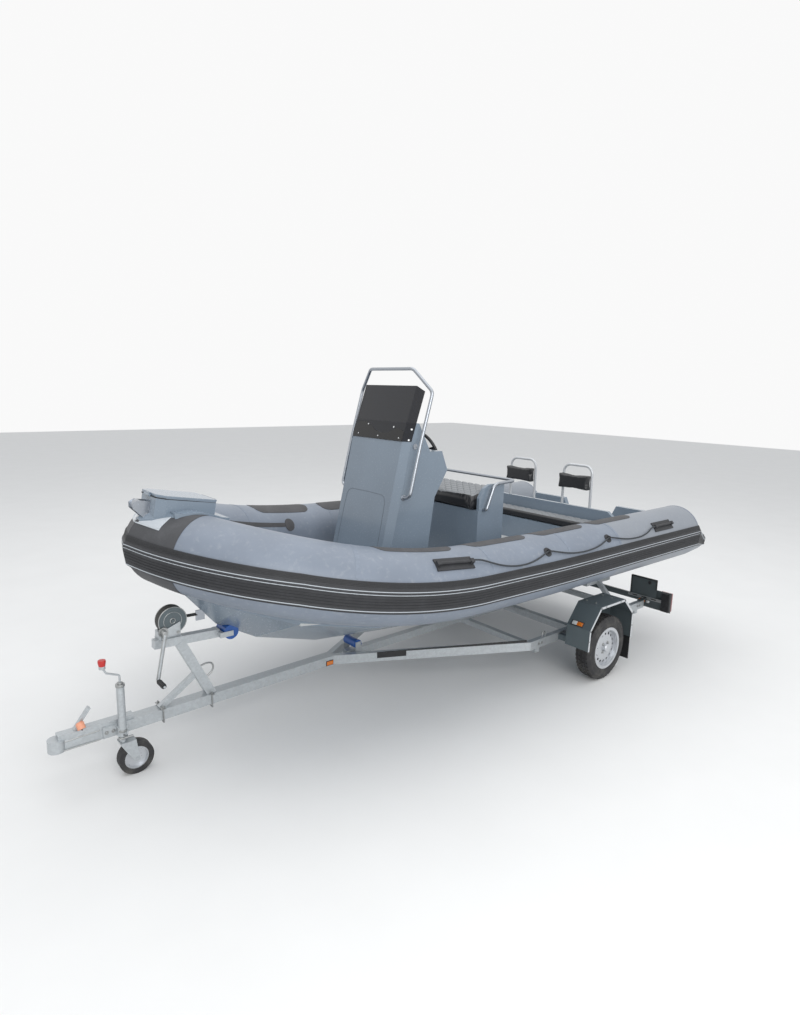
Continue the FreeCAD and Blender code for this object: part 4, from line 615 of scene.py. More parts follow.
def soft_edge(value, low, high):
    """From 0 to 1 while the value goes from low to high."""
    return min(max((value - low) / (high - low), 0.0), 1.0)


def spot(x, y, z):
    """A place given in millimetres ahead of the axle, to port and up."""
    return Vector((x / 1000 + AXLE, y / 1000, z / 1000))


def facing_out(piece, place, out):
    """Moves a piece made at the origin with its face up, so that it faces a direction at its place."""
    turn = Vector(out).to_track_quat("Z", "Y").to_matrix().to_4x4()
    piece.data.transform(Matrix.Translation(place) @ turn)
    piece.data.update()
    return piece


def screw(name, place, out, radius=0.0075):
    """A round screw head with a driver's recess, on its washer."""
    head = rod(name, (0, 0, 0.0018), radius * 0.72, 0.0036, "z", 24)
    edit(head, facing("z", 1), inset(radius * 0.3), extrude(z=-0.0014))
    rounded(head, 0.0008, 2)
    washer = rod(name + "_washer", (0, 0, 0.0004), radius, 0.0016, "z", 28)
    rounded(washer, 0.0004, 1)
    return facing_out(smooth(joined(name, [head, washer]), 30), place, out)


def bolt(name, place, out, size=0.012):
    """A hexagon bolt head on a washer."""
    head = rod(name, (0, 0, size * 0.36), size * 0.62, size * 0.5, "z", 6)
    rounded(head, size * 0.06, 1)
    washer = rod(name + "_washer", (0, 0, size * 0.05), size * 0.95, size * 0.14, "z", 28)
    return facing_out(smooth(joined(name, [head, washer]), 30), place, out)


def plank(name, start, end, width, thickness, out):
    """A flat bar from one place to another; its broad face looks out."""
    start, end, out = Vector(start), Vector(end), Vector(out)
    ahead = end - start
    piece = block(name, (0, 0, 0), (ahead.length, width, thickness))
    ahead.normalize()
    out = (out - ahead * out.dot(ahead)).normalized()
    turn = Matrix((ahead, out.cross(ahead), out)).transposed().to_4x4()
    piece.data.transform(Matrix.Translation((start + end) / 2) @ turn)
    piece.data.update()
    return piece


class TubeSkin:
    """Places on one tube's skin: a distance along from the tail's root, degrees above its middle."""

    RADIUS = 0.25
    CORNERS = ((-2.47, 0.96, 1.10), (-0.27, 0.96, 1.10), (1.126, 0.96, 1.135), (2.09, 0.52, 1.385),
               (2.226, 0.0, 1.42))
    BENDS = (30.0, 2.55)
    # The nose bend's share of the last straight.
    NOSE_SHARE = 0.82
    TAIL_LENGTH = 0.384
    TAIL_RADIUS = 0.12
    TAIL_DROP = 0.128

    def __init__(self, side):
        self.side = side
        corners = [Vector((x, y * side, z)) for x, y, z in self.CORNERS]
        self.parts = []
        at = corners[0]
        for number in (1, 2, 3):
            corner = corners[number]
            back = (corners[number - 1] - corner).normalized()
            ahead = (corners[number + 1] - corner).normalized()
            half = (math.pi - back.angle(ahead)) / 2
            nose = self.NOSE_SHARE * (corners[4] - corner).length / math.tan(half)
            radius = nose if number == 3 else self.BENDS[number - 1]
            start = corner + back * radius * math.tan(half)
            centre = corner + (back + ahead).normalized() * radius / math.cos(half)
            self.parts.append(("run", (start - at).length, at, (start - at).normalized(), None, 0))
            self.parts.append(("bend", 2 * half * radius, start, -back, centre, radius))
            at = corner + ahead * radius * math.tan(half)
        self.parts.append(("run", (corners[4] - at).length, at, (corners[4] - at).normalized(), None, 0))
        self.length = sum(part[1] for part in self.parts)

    def middle(self, along):
        """The middle line's place and direction."""
        for kind, length, start, ahead, centre, radius in self.parts:
            if along <= length or kind == "run" and start == self.parts[-1][2]:
                break
            along -= length
        if kind == "run":
            return start + ahead * along, ahead
        angle = along / radius
        out = (start - centre).normalized()
        return (centre + (out * math.cos(angle) + ahead * math.sin(angle)) * radius,
                ahead * math.cos(angle) - out * math.sin(angle))

    def place(self, along, degrees, lift=0.0):
        """A place on the skin, or lifted off it; a negative distance runs down the tail and round its end."""
        angle = math.radians(degrees)
        if along >= 0:
            middle, ahead = self.middle(along)
            up = (Vector((0, 0, 1)) - ahead * ahead.z).normalized()
            out = ahead.cross(up) * -self.side
            reach = self.RADIUS + lift
            return middle + (out * math.cos(angle) + up * math.sin(angle)) * reach
        x, y, z = self.CORNERS[0]
        root = Vector((x, y * self.side, z))
        down = min(-along / self.TAIL_LENGTH, 1.0)
        middle = root + Vector((-self.TAIL_LENGTH, 0, -self.TAIL_DROP)) * down
        reach = self.RADIUS + (self.TAIL_RADIUS - self.RADIUS) * down + lift
        wrap = max(-along - self.TAIL_LENGTH, 0) / self.TAIL_RADIUS
        flat = reach * math.cos(angle)
        return middle + Vector((-math.sin(wrap) * flat, math.cos(wrap) * flat * self.side,
                                reach * math.sin(angle)))


SKINS = {}


def laid(piece, side, along, degrees):
    """Lays a flat piece on a tube: its x runs forward, its y up round the tube and its z off the skin."""
    skin = SKINS[side]
    for corner in piece.data.vertices:
        x, y, z = corner.co
        corner.co = skin.place(along + x, degrees + math.degrees(y / skin.RADIUS), z)
    piece.data.update()
    return edit_whole(piece, face_outwards)


# Tubes and strakes


class BOAT_OT_nodes(bpy.types.Operator):
    """Gives every CAD node the material of its slot"""

    bl_idname = "boat.nodes"
    bl_label = "Dress the solid parts"

    def execute(self, context):
        make_finishes()
        for word, side in SIDES:
            SKINS[side] = TubeSkin(side)
        slots = {entry["node"]: entry["material_slot"] for entry in frame["record"]["subparts"]}
        slots["light_board"] = "board_grey"
        for node, finish in slots.items():
            NODES[node].data.materials.clear()
            NODES[node].data.materials.append(FINISHES[finish])
        return {"FINISHED"}


def round_ends(piece, size, corner):
    """Narrows a flat grid towards its ends, so that its corners are round."""
    length, width = size
    straight = length / 2 - corner
    for point in piece.data.vertices:
        over = max(abs(point.co.x) - straight, 0.0)
        allowed = width / 2 - corner + math.sqrt(max(corner ** 2 - over ** 2, 0.0))
        point.co.y *= allowed / (width / 2)
    piece.data.update()


def skin_patch(name, side, along, degrees, size, lift, thickness, corner=0.0, cuts=None, finish="grip_pad"):
    """A flat patch glued on a tube, on a grid about a centimetre fine."""
    patch = sheet_grid(name, size, cuts or (max(int(size[0] / 0.012), 2), max(int(size[1] / 0.01), 2)))
    if corner:
        round_ends(patch, size, corner)
    modify(patch, "SOLIDIFY", thickness=thickness, offset=1.0)
    for point in patch.data.vertices:
        point.co.z += lift
    return fit(smooth(laid(patch, side, along, degrees), 50), finish)


# Distances along each tube of its seams and of its grip pads' middles.
SEAMS = (0.0, 1.37, 2.06, 2.93, 3.93)
SEAM_FROM, SEAM_TO = 24, 205
GRIP_PADS = (3.46, 2.68, 1.945, 1.21)
PAD_MIDDLE = 101
# The nose cap's length on each tube, and how far it is laid past the centreline before it is cut there.
NOSE_CAP = 0.292
CAP_OVERLAP = 0.09
# The strap inside each tube: how far round it lies, and where along its middle and its end disc are.
STRAP_HEIGHT, STRAP_MIDDLE, STRAP_DISC = 152, 4.02, 3.46


class BOAT_OT_tube_trim(bpy.types.Operator):
    """Lays seams, grip pads, the nose cap and the strap ends on the tubes"""

    bl_idname = "boat.tube_trim"
    bl_label = "Tube trim"

    def execute(self, context):
        tubes = context.scene.boat_tubes
        for word, side in SIDES:
            skin = SKINS[side]
            for number, along in enumerate(SEAMS):
                size = (tubes.seam_width, math.radians(SEAM_TO - SEAM_FROM) * skin.RADIUS)
                skin_patch("seam_%s_%d" % (word, number), side, along, (SEAM_FROM + SEAM_TO) / 2, size, 0.0,
                           0.0012, cuts=(2, 72), finish="tube_tape")
            for number, along in enumerate(GRIP_PADS):
                skin_patch("grip_pad_%s_%d" % (word, number), side, along, PAD_MIDDLE,
                           (tubes.pad_length, tubes.pad_width), 0.0005, 0.0025, corner=0.085)
            length = NOSE_CAP + CAP_OVERLAP
            cap = sheet_grid("nose_cap_" + word, (length, 2 * math.pi * skin.RADIUS), (24, 120))
            for point in cap.data.vertices:
                point.co.z = 0.0014
            laid(cap, side, skin.length + CAP_OVERLAP - length / 2, 10)
            at_centreline(cap, side)
            modify(cap, "WELD", merge_threshold=0.0002)
            modify(cap, "SOLIDIFY", thickness=0.0016, offset=0.0)
            fit(smooth(cap, 50), "nose_rubber")
            skin_patch("strap_end_" + word, side, STRAP_MIDDLE, STRAP_HEIGHT, (1.06, 0.036), 0.0, 0.003)
            skin_patch("strap_disc_" + word, side, STRAP_DISC, STRAP_HEIGHT, (0.11, 0.11), 0.002, 0.003,
                       corner=0.054, cuts=(14, 14))
        return {"FINISHED"}


# Beads on the strake: finish, lift off the skin, size against the setting, degrees above the tube's middle.
STRAKE_BEADS = (
    ("strake_rib", 0.0072, 0.5, (20.3, 18.4, 16.5, 14.6)),
    ("strake_light", 0.0140, 1.0, (8.6,)),
    ("strake_light", 0.0130, 1.0, (4.4,)),
    ("strake_rubber", 0.0122, 0.6, (-2.0, -6.0, -10.0, -14.0)),
    ("strake_light", 0.0160, 1.0, (-19.0,)),
)
STRAKE_WRAP = 145
BEAD_STATIONS = 190
BEAD_OVERLAP = 0.08


class BOAT_OT_strake_beads(bpy.types.Operator):
    """Runs the strake's light beads and dark ribs from the bow to round the tails"""

    bl_idname = "boat.strake_beads"
    bl_label = "Strake beads"

    def execute(self, context):
        bead = context.scene.boat_tubes.bead
        rows = [(degrees, lift, size, finish) for finish, lift, size, places in STRAKE_BEADS
                for degrees in places]
        for word, side in SIDES:
            skin = SKINS[side]
            start = -skin.TAIL_LENGTH - skin.TAIL_RADIUS * math.radians(STRAKE_WRAP)
            reach = skin.length + BEAD_OVERLAP - start
            stations = [start + reach * number / BEAD_STATIONS for number in range(BEAD_STATIONS + 1)]
            for number, (degrees, lift, size, finish) in enumerate(rows):
                points = [skin.place(along, degrees, lift) for along in stations]
                points = [point for point in points if point.y * side > -0.02]
                line = wire("strake_bead_%s_%d" % (word, number), points, bead * size, section=2)
                fit(at_centreline(line, side), finish)
        return {"FINISHED"}


# Grab lines

# The port line's control points, from the bow handle to the aft handle.
GRAB_LINE = (
    (0.626, 1.1411, 1.3272), (0.570, 1.1432, 1.3219), (0.490, 1.1608, 1.2936), (0.400, 1.1801, 1.2625),
    (0.295, 1.1911, 1.2397), (0.175, 1.1954, 1.2285), (0.055, 1.1911, 1.2337), (-0.055, 1.1797, 1.2540),
    (-0.150, 1.1623, 1.2799), (-0.255, 1.1757, 1.2564), (-0.380, 1.1889, 1.2307), (-0.515, 1.1954, 1.2176),
    (-0.650, 1.1954, 1.2174), (-0.780, 1.1889, 1.2295), (-0.875, 1.1771, 1.2520), (-0.950, 1.1638, 1.2741),
    (-1.040, 1.1730, 1.2576), (-1.160, 1.1854, 1.2355), (-1.290, 1.1922, 1.2235), (-1.425, 1.1922, 1.2235),
    (-1.545, 1.1827, 1.2418), (-1.620, 1.1676, 1.2742), (-1.680, 1.1676, 1.2742),
)


class BOAT_OT_grab_lines(bpy.types.Operator):
    """Hangs the grab line of each tube between its handles and eyes"""

    bl_idname = "boat.grab_lines"
    bl_label = "Grab lines"

    def execute(self, context):
        for word, side in SIDES:
            points = [(x, y * side, z) for x, y, z in GRAB_LINE]
            line = curve_line("grab_line_" + word, points, "NURBS")
            spline = line.data.splines[0]
            spline.order_u = 3
            spline.use_endpoint_u = True
            spline.resolution_u = 12
            line.data.bevel_depth = 0.006
            line.data.bevel_resolution = 4
            line.data.use_fill_caps = True
            fit(line, "line_rope")
            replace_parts(line, "lifeline_" + word)
        return {"FINISHED"}


# Cushions


def soft_copy(node, name, side=0):
    """A merged copy of a soft solid, or of its half on one side of the centreline."""
    pad = edit_whole(copied(NODES[node], name), merge(0.00005))
    return at_centreline(pad, side) if side else pad


def filled(pad, swell, voxel, shrink):
    """Fills a closed cushion with air as cloth, and keeps its skin in the space of its solid."""
    settings = bpy.context.scene.boat_cushions
    low, high = bounds_of(pad)
    middle = (low + high) / 2
    for corner in pad.data.vertices:
        for axis in range(3):
            half = (high[axis] - low[axis]) / 2
            corner.co[axis] = middle[axis] + (corner.co[axis] - middle[axis]) * (half - shrink) / half
    modify(pad, "REMESH", mode="VOXEL", voxel_size=voxel)
    first = [corner.co.copy() for corner in pad.data.vertices]
    cloth = pad.modifiers.new("Air", "CLOTH")
    cloth.settings.use_pressure = True
    cloth.settings.uniform_pressure_force = settings.pressure
    cloth.settings.effector_weights.gravity = 0.0
    cloth.settings.quality = 4
    for step in range(1, settings.steps + 1):
        bpy.context.scene.frame_set(step)
    shape = pad.evaluated_get(bpy.context.evaluated_depsgraph_get())
    last = [corner.co.copy() for corner in shape.data.vertices]
    pad.modifiers.remove(cloth)
    bpy.context.scene.frame_set(1)
    for corner, start, end in zip(pad.data.vertices, first, last):
        move = end - start
        if move.length > swell:
            move *= swell / move.length
        place = start + move
        corner.co = [min(max(place[axis], low[axis]), high[axis]) for axis in range(3)]
    return modify(pad, "SUBSURF", levels=1, render_levels=1)


SEAT_VOXEL = 0.0075
HEM = 0.012
# The quilting's slant, and the depth and width of its channels.
QUILT_SLANT, QUILT_DEPTH, QUILT_WIDTH = 1.15, 0.006, 0.007


def seat(node, name, shrink, quilt, front, back, half, rise):
    """Fills a seat cushion: a quilted grey top inside the margins given, the rest black."""
    settings = bpy.context.scene.boat_cushions
    pad = filled(soft_copy(node, name), settings.seat_swell, SEAT_VOXEL, shrink)
    low, high = bounds_of(pad)

    def top(place):
        edge = soft_edge(high.x - front - place.x, 0.0, HEM) * soft_edge(place.x - low.x - back, 0.0, HEM)
        return edge * soft_edge(half - abs(place.y), 0.0, HEM) * soft_edge(place.z - low.z - rise, 0.0, 0.01)

    for corner in pad.data.vertices:
        amount = top(corner.co)
        if amount <= 0:
            continue
        for sign in (1, -1):
            across = (corner.co.y + sign * corner.co.x * QUILT_SLANT) / quilt
            off = abs(across - round(across)) * quilt
            corner.co.z -= amount * QUILT_DEPTH * math.exp(-(off / QUILT_WIDTH) ** 2)
    pad.data.update()
    fit(smooth(pad, 180), "black_cushion")
    pad.data.materials.append(FINISHES["grey_cushion"])
    for face in pad.data.polygons:
        face.material_index = 1 if top(face.center) > 0 else 0
    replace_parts(pad, node)


class BOAT_OT_helm_cushion(bpy.types.Operator):
    """Fills the helm seat's cushion: quilted grey top, black bolster in front and at the sides"""

    bl_idname = "boat.helm_cushion"
    bl_label = "Helm seat cushion"

    def execute(self, context):
        seat("helm_seat_cushion", "helm_cushion", shrink=0.010, quilt=0.075, front=0.040, back=0.03,
             half=0.372, rise=0.055)
        return {"FINISHED"}


class BOAT_OT_bench_cushion(bpy.types.Operator):
    """Fills the aft bench's cushion: quilted grey top, black front and sides"""

    bl_idname = "boat.bench_cushion"
    bl_label = "Bench cushion"

    def execute(self, context):
        seat("aft_bench_cushion", "bench_cushion", shrink=0.009, quilt=0.085, front=0.045, back=-1.0,
             half=0.62, rise=0.04)
        return {"FINISHED"}


class BOAT_OT_back_pads(bpy.types.Operator):
    """Fills the two black backrest pads"""

    bl_idname = "boat.back_pads"
    bl_label = "Backrest pads"

    def execute(self, context):
        settings = context.scene.boat_cushions
        pads = []
        for word, side in SIDES:
            pad = soft_copy("backrest_pads", "back_pad_" + word, side)
            pads.append(filled(pad, settings.pads_swell, settings.voxel, 0.006))
        for pad in pads:
            fit(smooth(pad, 180), "black_cushion")
            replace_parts(pad, "backrest_pads")
        return {"FINISHED"}


# Wheels


def spun(name, profile, middle, steps, axis="y"):
    """Turns a closed profile of radius and place along the axis right round it."""
    places = [Vector(middle) + Vector((0, along, radius) if axis == "y" else (radius, 0, along))
              for radius, along in profile]
    curve_line(name, places, closed=True)

    def turn():
        line = (0, 1, 0) if axis == "y" else (0, 0, 1)
        bpy.ops.mesh.spin(steps=steps, angle=2 * math.pi, center=middle, axis=line)

    return edit_whole(made_mesh(), turn, merge(0.00002), face_outwards)


# The tyre's profile: radius, and the place across its width from the outer face to the inner.
TYRE_PROFILE = (
    (0.1665, 0.058), (0.173, 0.0655), (0.1865, 0.068), (0.196, 0.0715), (0.206, 0.0728), (0.2065, 0.0738),
    (0.2095, 0.0738), (0.210, 0.0730), (0.226, 0.0728), (0.243, 0.0700), (0.247, 0.0715), (0.2495, 0.0700),
    (0.262, 0.0640), (0.2715, 0.0560), (0.2738, 0.0385), (0.2738, 0.0330), (0.2745, 0.0270), (0.2745, 0.0080),
    (0.2745, 0.0030),
)
# Rows of tread blocks: from and to across the tyre, which of three steps is left out, and the row's shift.
TREAD_ROWS = (
    (0.0390, 0.0575, 0, 0),
    (0.0080, 0.0275, 1, 1),
    (-0.0031, 0.0031, 9, 0),
    (-0.0275, -0.0080, 2, 1),
    (-0.0575, -0.0390, 1, 2),
)
TYRE_STEPS = 132
# The least radius of a face of the tread, the radius between its blocks, and on them.
TREAD_FACES, TREAD_FLOOR, TREAD_OUTER = 0.2625, 0.2742, 0.2806
WHEEL_MIDDLE = (AXLE, 1.095, 0.281)
# The outer face of the wheel's raised middle plate, across the boat; the radius that its bolts stand on; how
# far outside the wheel's middle the rim's edge is.
HUB_FACE = 1.1420
BOLT_CIRCLE = 0.049
RIM_EDGE = 0.0695


def around(face, middle):
    return math.degrees(math.atan2(face.center.z - middle[2], face.center.x - middle[0])) % 360


def raised(piece, choose, middle, grow):
    """Extrudes faces and moves them away from an axle across the boat."""
    return edit(piece, choose, extrude(), scale(grow, 1, grow, center_override=middle))


def tread_row(tyre, low, high, skip, shift):
    """Raises the blocks of one tread row to the tyre's full radius."""
    x, y, z = WHEEL_MIDDLE

    def chosen(face):
        number = int(around(face, WHEEL_MIDDLE) / (360 / TYRE_STEPS) + 0.5 + shift)
        off = math.hypot(face.center.x - x, face.center.z - z)
        return low < face.center.y - y < high and off > TREAD_FACES and number % 3 != skip

    raised(tyre, chosen, WHEEL_MIDDLE, TREAD_OUTER / TREAD_FLOOR)


class BOAT_OT_tyres(bpy.types.Operator):
    """Builds the road tyres: bead, ribbed flank, shoulder and rows of tread blocks"""

    bl_idname = "boat.tyres"
    bl_label = "Tyres"

    def execute(self, context):
        profile = list(TYRE_PROFILE) + [(radius, -across) for radius, across in reversed(TYRE_PROFILE)]
        tyre = spun("tyre_port", profile, WHEEL_MIDDLE, TYRE_STEPS)
        for row in TREAD_ROWS:
            tread_row(tyre, *row)
        smooth(tyre, 32)
        twin = copied(tyre, "tyre_starboard", mirrored=True)
        for piece, word in ((tyre, "port"), (twin, "starboard")):
            fit(piece, "tyre_rubber", "wheel_" + word)
            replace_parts(piece, "tyre_" + word)
        return {"FINISHED"}


class BOAT_OT_wheel_fittings(bpy.types.Operator):
    """Adds wheel bolts, the grease cap, the valve, the rim's flange bead and a black disc of painted shade
    inside the rim
    """

    bl_idname = "boat.wheel_fittings"
    bl_label = "Wheel fittings"

    def execute(self, context):
        x, y, z = WHEEL_MIDDLE
        face = y + RIM_EDGE
        pieces = []
        for turn in range(4):
            angle = math.radians(45 + turn * 90)
            place = (x + BOLT_CIRCLE * math.cos(angle), HUB_FACE + 0.004, z + BOLT_CIRCLE * math.sin(angle))
            head = rod("wheel_bolt_%d" % turn, place, 0.0105, 0.014, "y", 6)
            under = (place[0], HUB_FACE - 0.001, place[2])
            washer = rod("bolt_seat_%d" % turn, under, 0.0145, 0.005, "y", 24)
            pieces += [rounded(head, 0.0012, 1), rounded(washer, 0.0015, 1)]
        cap = rod("grease_cap", (x, HUB_FACE + 0.004, z), 0.026, 0.018, "y", 48)
        edit(cap, facing("y", 1), inset(0.006), extrude(y=0.004), inset(0.004))
        pieces.append(rounded(cap, 0.002, 2))
        valve = rod("valve", (x + 0.139, y + 0.045, z + 0.03), 0.0035, 0.026, "y", 12)
        edit(valve, facing("y", 1), extrude(y=0.008), scale(0.7, 1, 0.7))
        rings = [hoop("rim_bead", (x, face, z), 0.1795, 0.0021, "y", 120, 10),
                 hoop("rim_ring", (x, face - 0.014, z), 0.1585, 0.0022, "y", 120, 10)]
        for piece in pieces + rings:
            smooth(piece, 35)
        # A thin matte black disc inside the rim is painted shade: it stands for the shadowed hub and rim seen
        # through the wheel's holes.
        wheel_shade_disc = rod("rim_backing", (x, y + 0.0255, z), 0.150, 0.0015, "y", 64)
        for piece, finish, slot in ((joined("wheel_bolts_port", pieces), "zinc_bolt", "stainless"),
                                    (joined("rim_rings_port", rings), "rim_steel", "rim_steel"),
                                    (smooth(valve, 40), "black_plastic", "black_plastic"),
                                    (wheel_shade_disc, "soft_black", "black_plastic")):
            twin = copied(piece, piece.name.replace("port", "starboard") + "_b", mirrored=True)
            fit(piece, finish, "wheel_port")
            fit(twin, finish, "wheel_starboard")
        return {"FINISHED"}


# Console, screen and rails

SCREEN_OUT = (0.95, 0.0, 0.313)
# The windscreen's foot on its outer face, ahead of the middle and up, and the pane's direction up.
SCREEN_FOOT = Vector((0.5762, 0, 2.040))
SCREEN_UP = Vector((-0.3130, 0, 0.9497))
# Screws of the pane's front, and of its port cheek.
SCREEN_SCREWS = ((0.5661, -0.2377, 2.0671), (0.5406, -0.1399, 2.1445), (0.5672, 0.0163, 2.0636),
                 (0.5425, 0.1768, 2.1386), (0.5675, 0.2673, 2.0629))
CHEEK_SCREWS = ((0.5094, 0.3460, 2.1299), (0.5358, 0.3457, 2.0507))
# The dark strip's width, and its upper edge: across the boat, and how far up the pane.
STRIP_WIDTH = 0.618
STRIP_EDGE = ((-0.309, 0.100), (-0.24, 0.128), (-0.17, 0.126), (-0.10, 0.095), (-0.02, 0.062), (0.05, 0.048),
              (0.12, 0.052), (0.175, 0.078), (0.215, 0.098), (0.26, 0.088), (0.309, 0.075))


class BOAT_OT_screen(bpy.types.Operator):
    """Lays the dark strip along the windscreen's lower edge and puts in its screws"""

    bl_idname = "boat.screen"
    bl_label = "Windscreen trim"

    def execute(self, context):
        strip = sheet_grid("screen_strip", (STRIP_WIDTH, 1.0), (96, 10))
        for point in strip.data.vertices:
            across, share = point.co.x, point.co.y + 0.5
            tops = [pair for pair in zip(STRIP_EDGE, STRIP_EDGE[1:]) if pair[0][0] <= across + 0.0001]
            (left, left_top), (right, right_top) = tops[-1] if tops else STRIP_EDGE[:2]
            part = soft_edge(across, left, right)
            part = part * part * (3 - 2 * part)
            reach = (left_top + (right_top - left_top) * part) * share
            point.co = SCREEN_FOOT + SCREEN_UP * (0.003 + reach) + Vector((0, across, 0))
        strip.data.update()
        modify(strip, "SOLIDIFY", thickness=0.0012, offset=0.0)
        fit(smooth(strip, 40), "strip_black")
        screws = [(place, SCREEN_OUT) for place in SCREEN_SCREWS]
        for side in (1, -1):
            screws += [((x, y * side, z), (0.69, 0.69 * side, 0.23)) for x, y, z in CHEEK_SCREWS]
        heads = [screw("screen_screw_%d" % number, *placed) for number, placed in enumerate(screws)]
        fit(joined("screen_screws", heads), "bright_steel")
        return {"FINISHED"}


# Where the console's rail meets its side: foot and middle bracket.
RAIL_FEET = ((0.588, 0.3601, 1.625), (0.484, 0.3601, 2.003))
FLANGE_SCREWS = 0.0165


class BOAT_OT_rail_feet(bpy.types.Operator):
    """Adds the flanges and screws where the console's rail stands off it"""

    bl_idname = "boat.rail_feet"
    bl_label = "Rail flanges"

    def execute(self, context):
        pieces = []
        for x, y, z in RAIL_FEET:
            for word, side in SIDES:
                disc = rounded(rod("rail_flange", (0, 0, 0.0025), 0.022, 0.005, "z", 40), 0.0015, 2)
                pieces.append(facing_out(smooth(disc, 30), (x, y * side, z), (0, side, 0)))
                for turn in (90, 210, 330):
                    angle = math.radians(turn)
                    at = (x + FLANGE_SCREWS * math.cos(angle), (y + 0.005) * side,
                          z + FLANGE_SCREWS * math.sin(angle))
                    pieces.append(screw("flange_screw", at, (0, side, 0), 0.0038))
        fit(joined("rail_flanges", pieces), "stainless")
        return {"FINISHED"}


# The dash: a place on its face, its direction out and up, and the dials' place across, up and size.
DASH_PLACE = Vector((0.177, 0.0, 1.90))
DASH_OUT = (-0.9185, 0.0, 0.3954)
DASH_UP = Vector((0.3954, 0.0, 0.9185))
DIALS = ((0.245, 0.015, 0.043), (0.245, -0.066, 0.028), (-0.245, 0.015, 0.040))
SWITCHES = (-0.15, -0.02)


def on_dash(piece, across, rise):
    """Moves a piece made at the origin to its place on the dash."""
    return facing_out(piece, DASH_PLACE + DASH_UP * rise + Vector((0, across, 0)), DASH_OUT)


class BOAT_OT_dash(bpy.types.Operator):
    """Fits the dash: three dials and the switch panel"""

    bl_idname = "boat.dash"
    bl_label = "Dash fittings"

    def execute(self, context):
        cases, faces, marks = [], [], []
        for number, (across, rise, radius) in enumerate(DIALS):
            case = rod("dial_case_%d" % number, (0, 0, 0.004), radius, 0.010, "z", 48)
            edit(case, facing("z", 1), inset(radius * 0.14), extrude(z=-0.004))
            cases.append(on_dash(smooth(rounded(case, 0.0012, 2), 30), across, rise))
            face = rod("dial_face_%d" % number, (0, 0, 0.0052), radius * 0.84, 0.001, "z", 48)
            faces.append(on_dash(face, across, rise))
            for tick in range(13):
                turn = -30 + tick * 20
                angle = math.radians(turn)
                place = (radius * 0.68 * math.cos(angle), radius * 0.68 * math.sin(angle), 0.0060)
                size = (0.0042 if tick % 3 else 0.007, 0.0011, 0.0006)
                marks.append(on_dash(block("dial_mark", place, size, (0, 0, turn)), across, rise))
            hand = block("dial_hand", (radius * 0.22, 0, 0.0066), (radius * 0.8, 0.0016, 0.0008))
            marks.append(on_dash(hand, across, rise))
        fit(joined("dial_cases", cases), "black_plastic")
        fit(joined("dial_faces", faces), "dial_face")
        fit(joined("dial_marks", marks), "soft_black")
        switches = [rounded(block("switch_plate", (0, 0, 0.002), (0.052, 0.13, 0.006)), 0.002, 2)]
        for number in range(5):
            rocker = block("rocker", (0, -0.048 + number * 0.024, 0.0065), (0.026, 0.014, 0.008))
            edit(rocker, facing("z", 1), scale(0.8, 0.8, 1))
            switches.append(rounded(rocker, 0.001, 2))
        for piece in switches:
            on_dash(smooth(piece, 30), *SWITCHES)
        fit(joined("switch_panel", switches), "black_plastic")
        return {"FINISHED"}


# The hatch's joint in the console's front panel, from its foot to the middle of its top: across and up.
# Then the front's foot ahead of the middle and up, how far it leans back per metre, and the joint's lift.
HATCH_JOINT = ((0.262, 0.965), (0.250, 1.50), (0.243, 1.585), (0.225, 1.615), (0.19, 1.630), (0.0, 1.633))
FRONT_FOOT, FRONT_LEAN, JOINT_LIFT = (0.81, 0.95), 0.2202, 0.0005


class BOAT_OT_panel_lines(bpy.types.Operator):
    """Lays the hatch's round-cornered joint on the console's front"""

    bl_idname = "boat.panel_lines"
    bl_label = "Console joints"

    def execute(self, context):
        pieces = []
        for word, side in SIDES:
            places = [(FRONT_FOOT[0] - FRONT_LEAN * (rise - FRONT_FOOT[1]) + JOINT_LIFT, across * side, rise)
                      for across, rise in HATCH_JOINT]
            pieces.append(wire("console_joint_" + word, places, 0.0015, section=2))
        fit(joined("console_joints", pieces), "joint_grey")
        return {"FINISHED"}


# Trailer fittings

# The dark band on the port rail: from, to and its direction out.
RAIL_BAND = ((0.695, 0.2165, 0.3500), (-0.400, 0.8255, 0.3830), (0.486, 0.874, 0.0))
REFLECTOR_X, REFLECTOR_Z = 1.028, 0.314
# The mudguard's outline and a place inside it, ahead of the axle and up, then how far out its face and the
# rail's are.
GUARD_LINE = ((325, 335), (317, 511), (175, 686), (-195, 686), (-345, 536), (-345, 305))
GUARD_MIDDLE = (-10, 480)
GUARD_FACE = 1185.2
RAIL_FACE = 850.5


class BOAT_OT_rail_trim(bpy.types.Operator):
    """Lays the bare dark bands and the side reflectors on the trailer's rails"""

    bl_idname = "boat.rail_trim"
    bl_label = "Rail bands"

    def execute(self, context):
        bands, glasses, cases = [], [], []
        for word, side in SIDES:
            start, end, out = [(x, y * side, z) for x, y, z in RAIL_BAND]
            band = plank("rail_band", start, end, 0.052, 0.0016, out)
            bands.append(rounded(band, 0.0006, 1))
            case = block("reflector_case", (REFLECTOR_X, 0.0460 * side, REFLECTOR_Z), (0.066, 0.004, 0.040))
            cases.append(rounded(case, 0.001, 2))
            glass = block("reflector_glass", (REFLECTOR_X, 0.0486 * side, REFLECTOR_Z), (0.058, 0.003, 0.032))
            glasses.append(rounded(glass, 0.001, 2))
        fit(joined("rail_bands", bands), "bare_label")
        fit(joined("side_reflector_cases", cases), "black_plastic")
        fit(joined("side_reflectors", glasses), "amber_lens")
        return {"FINISHED"}


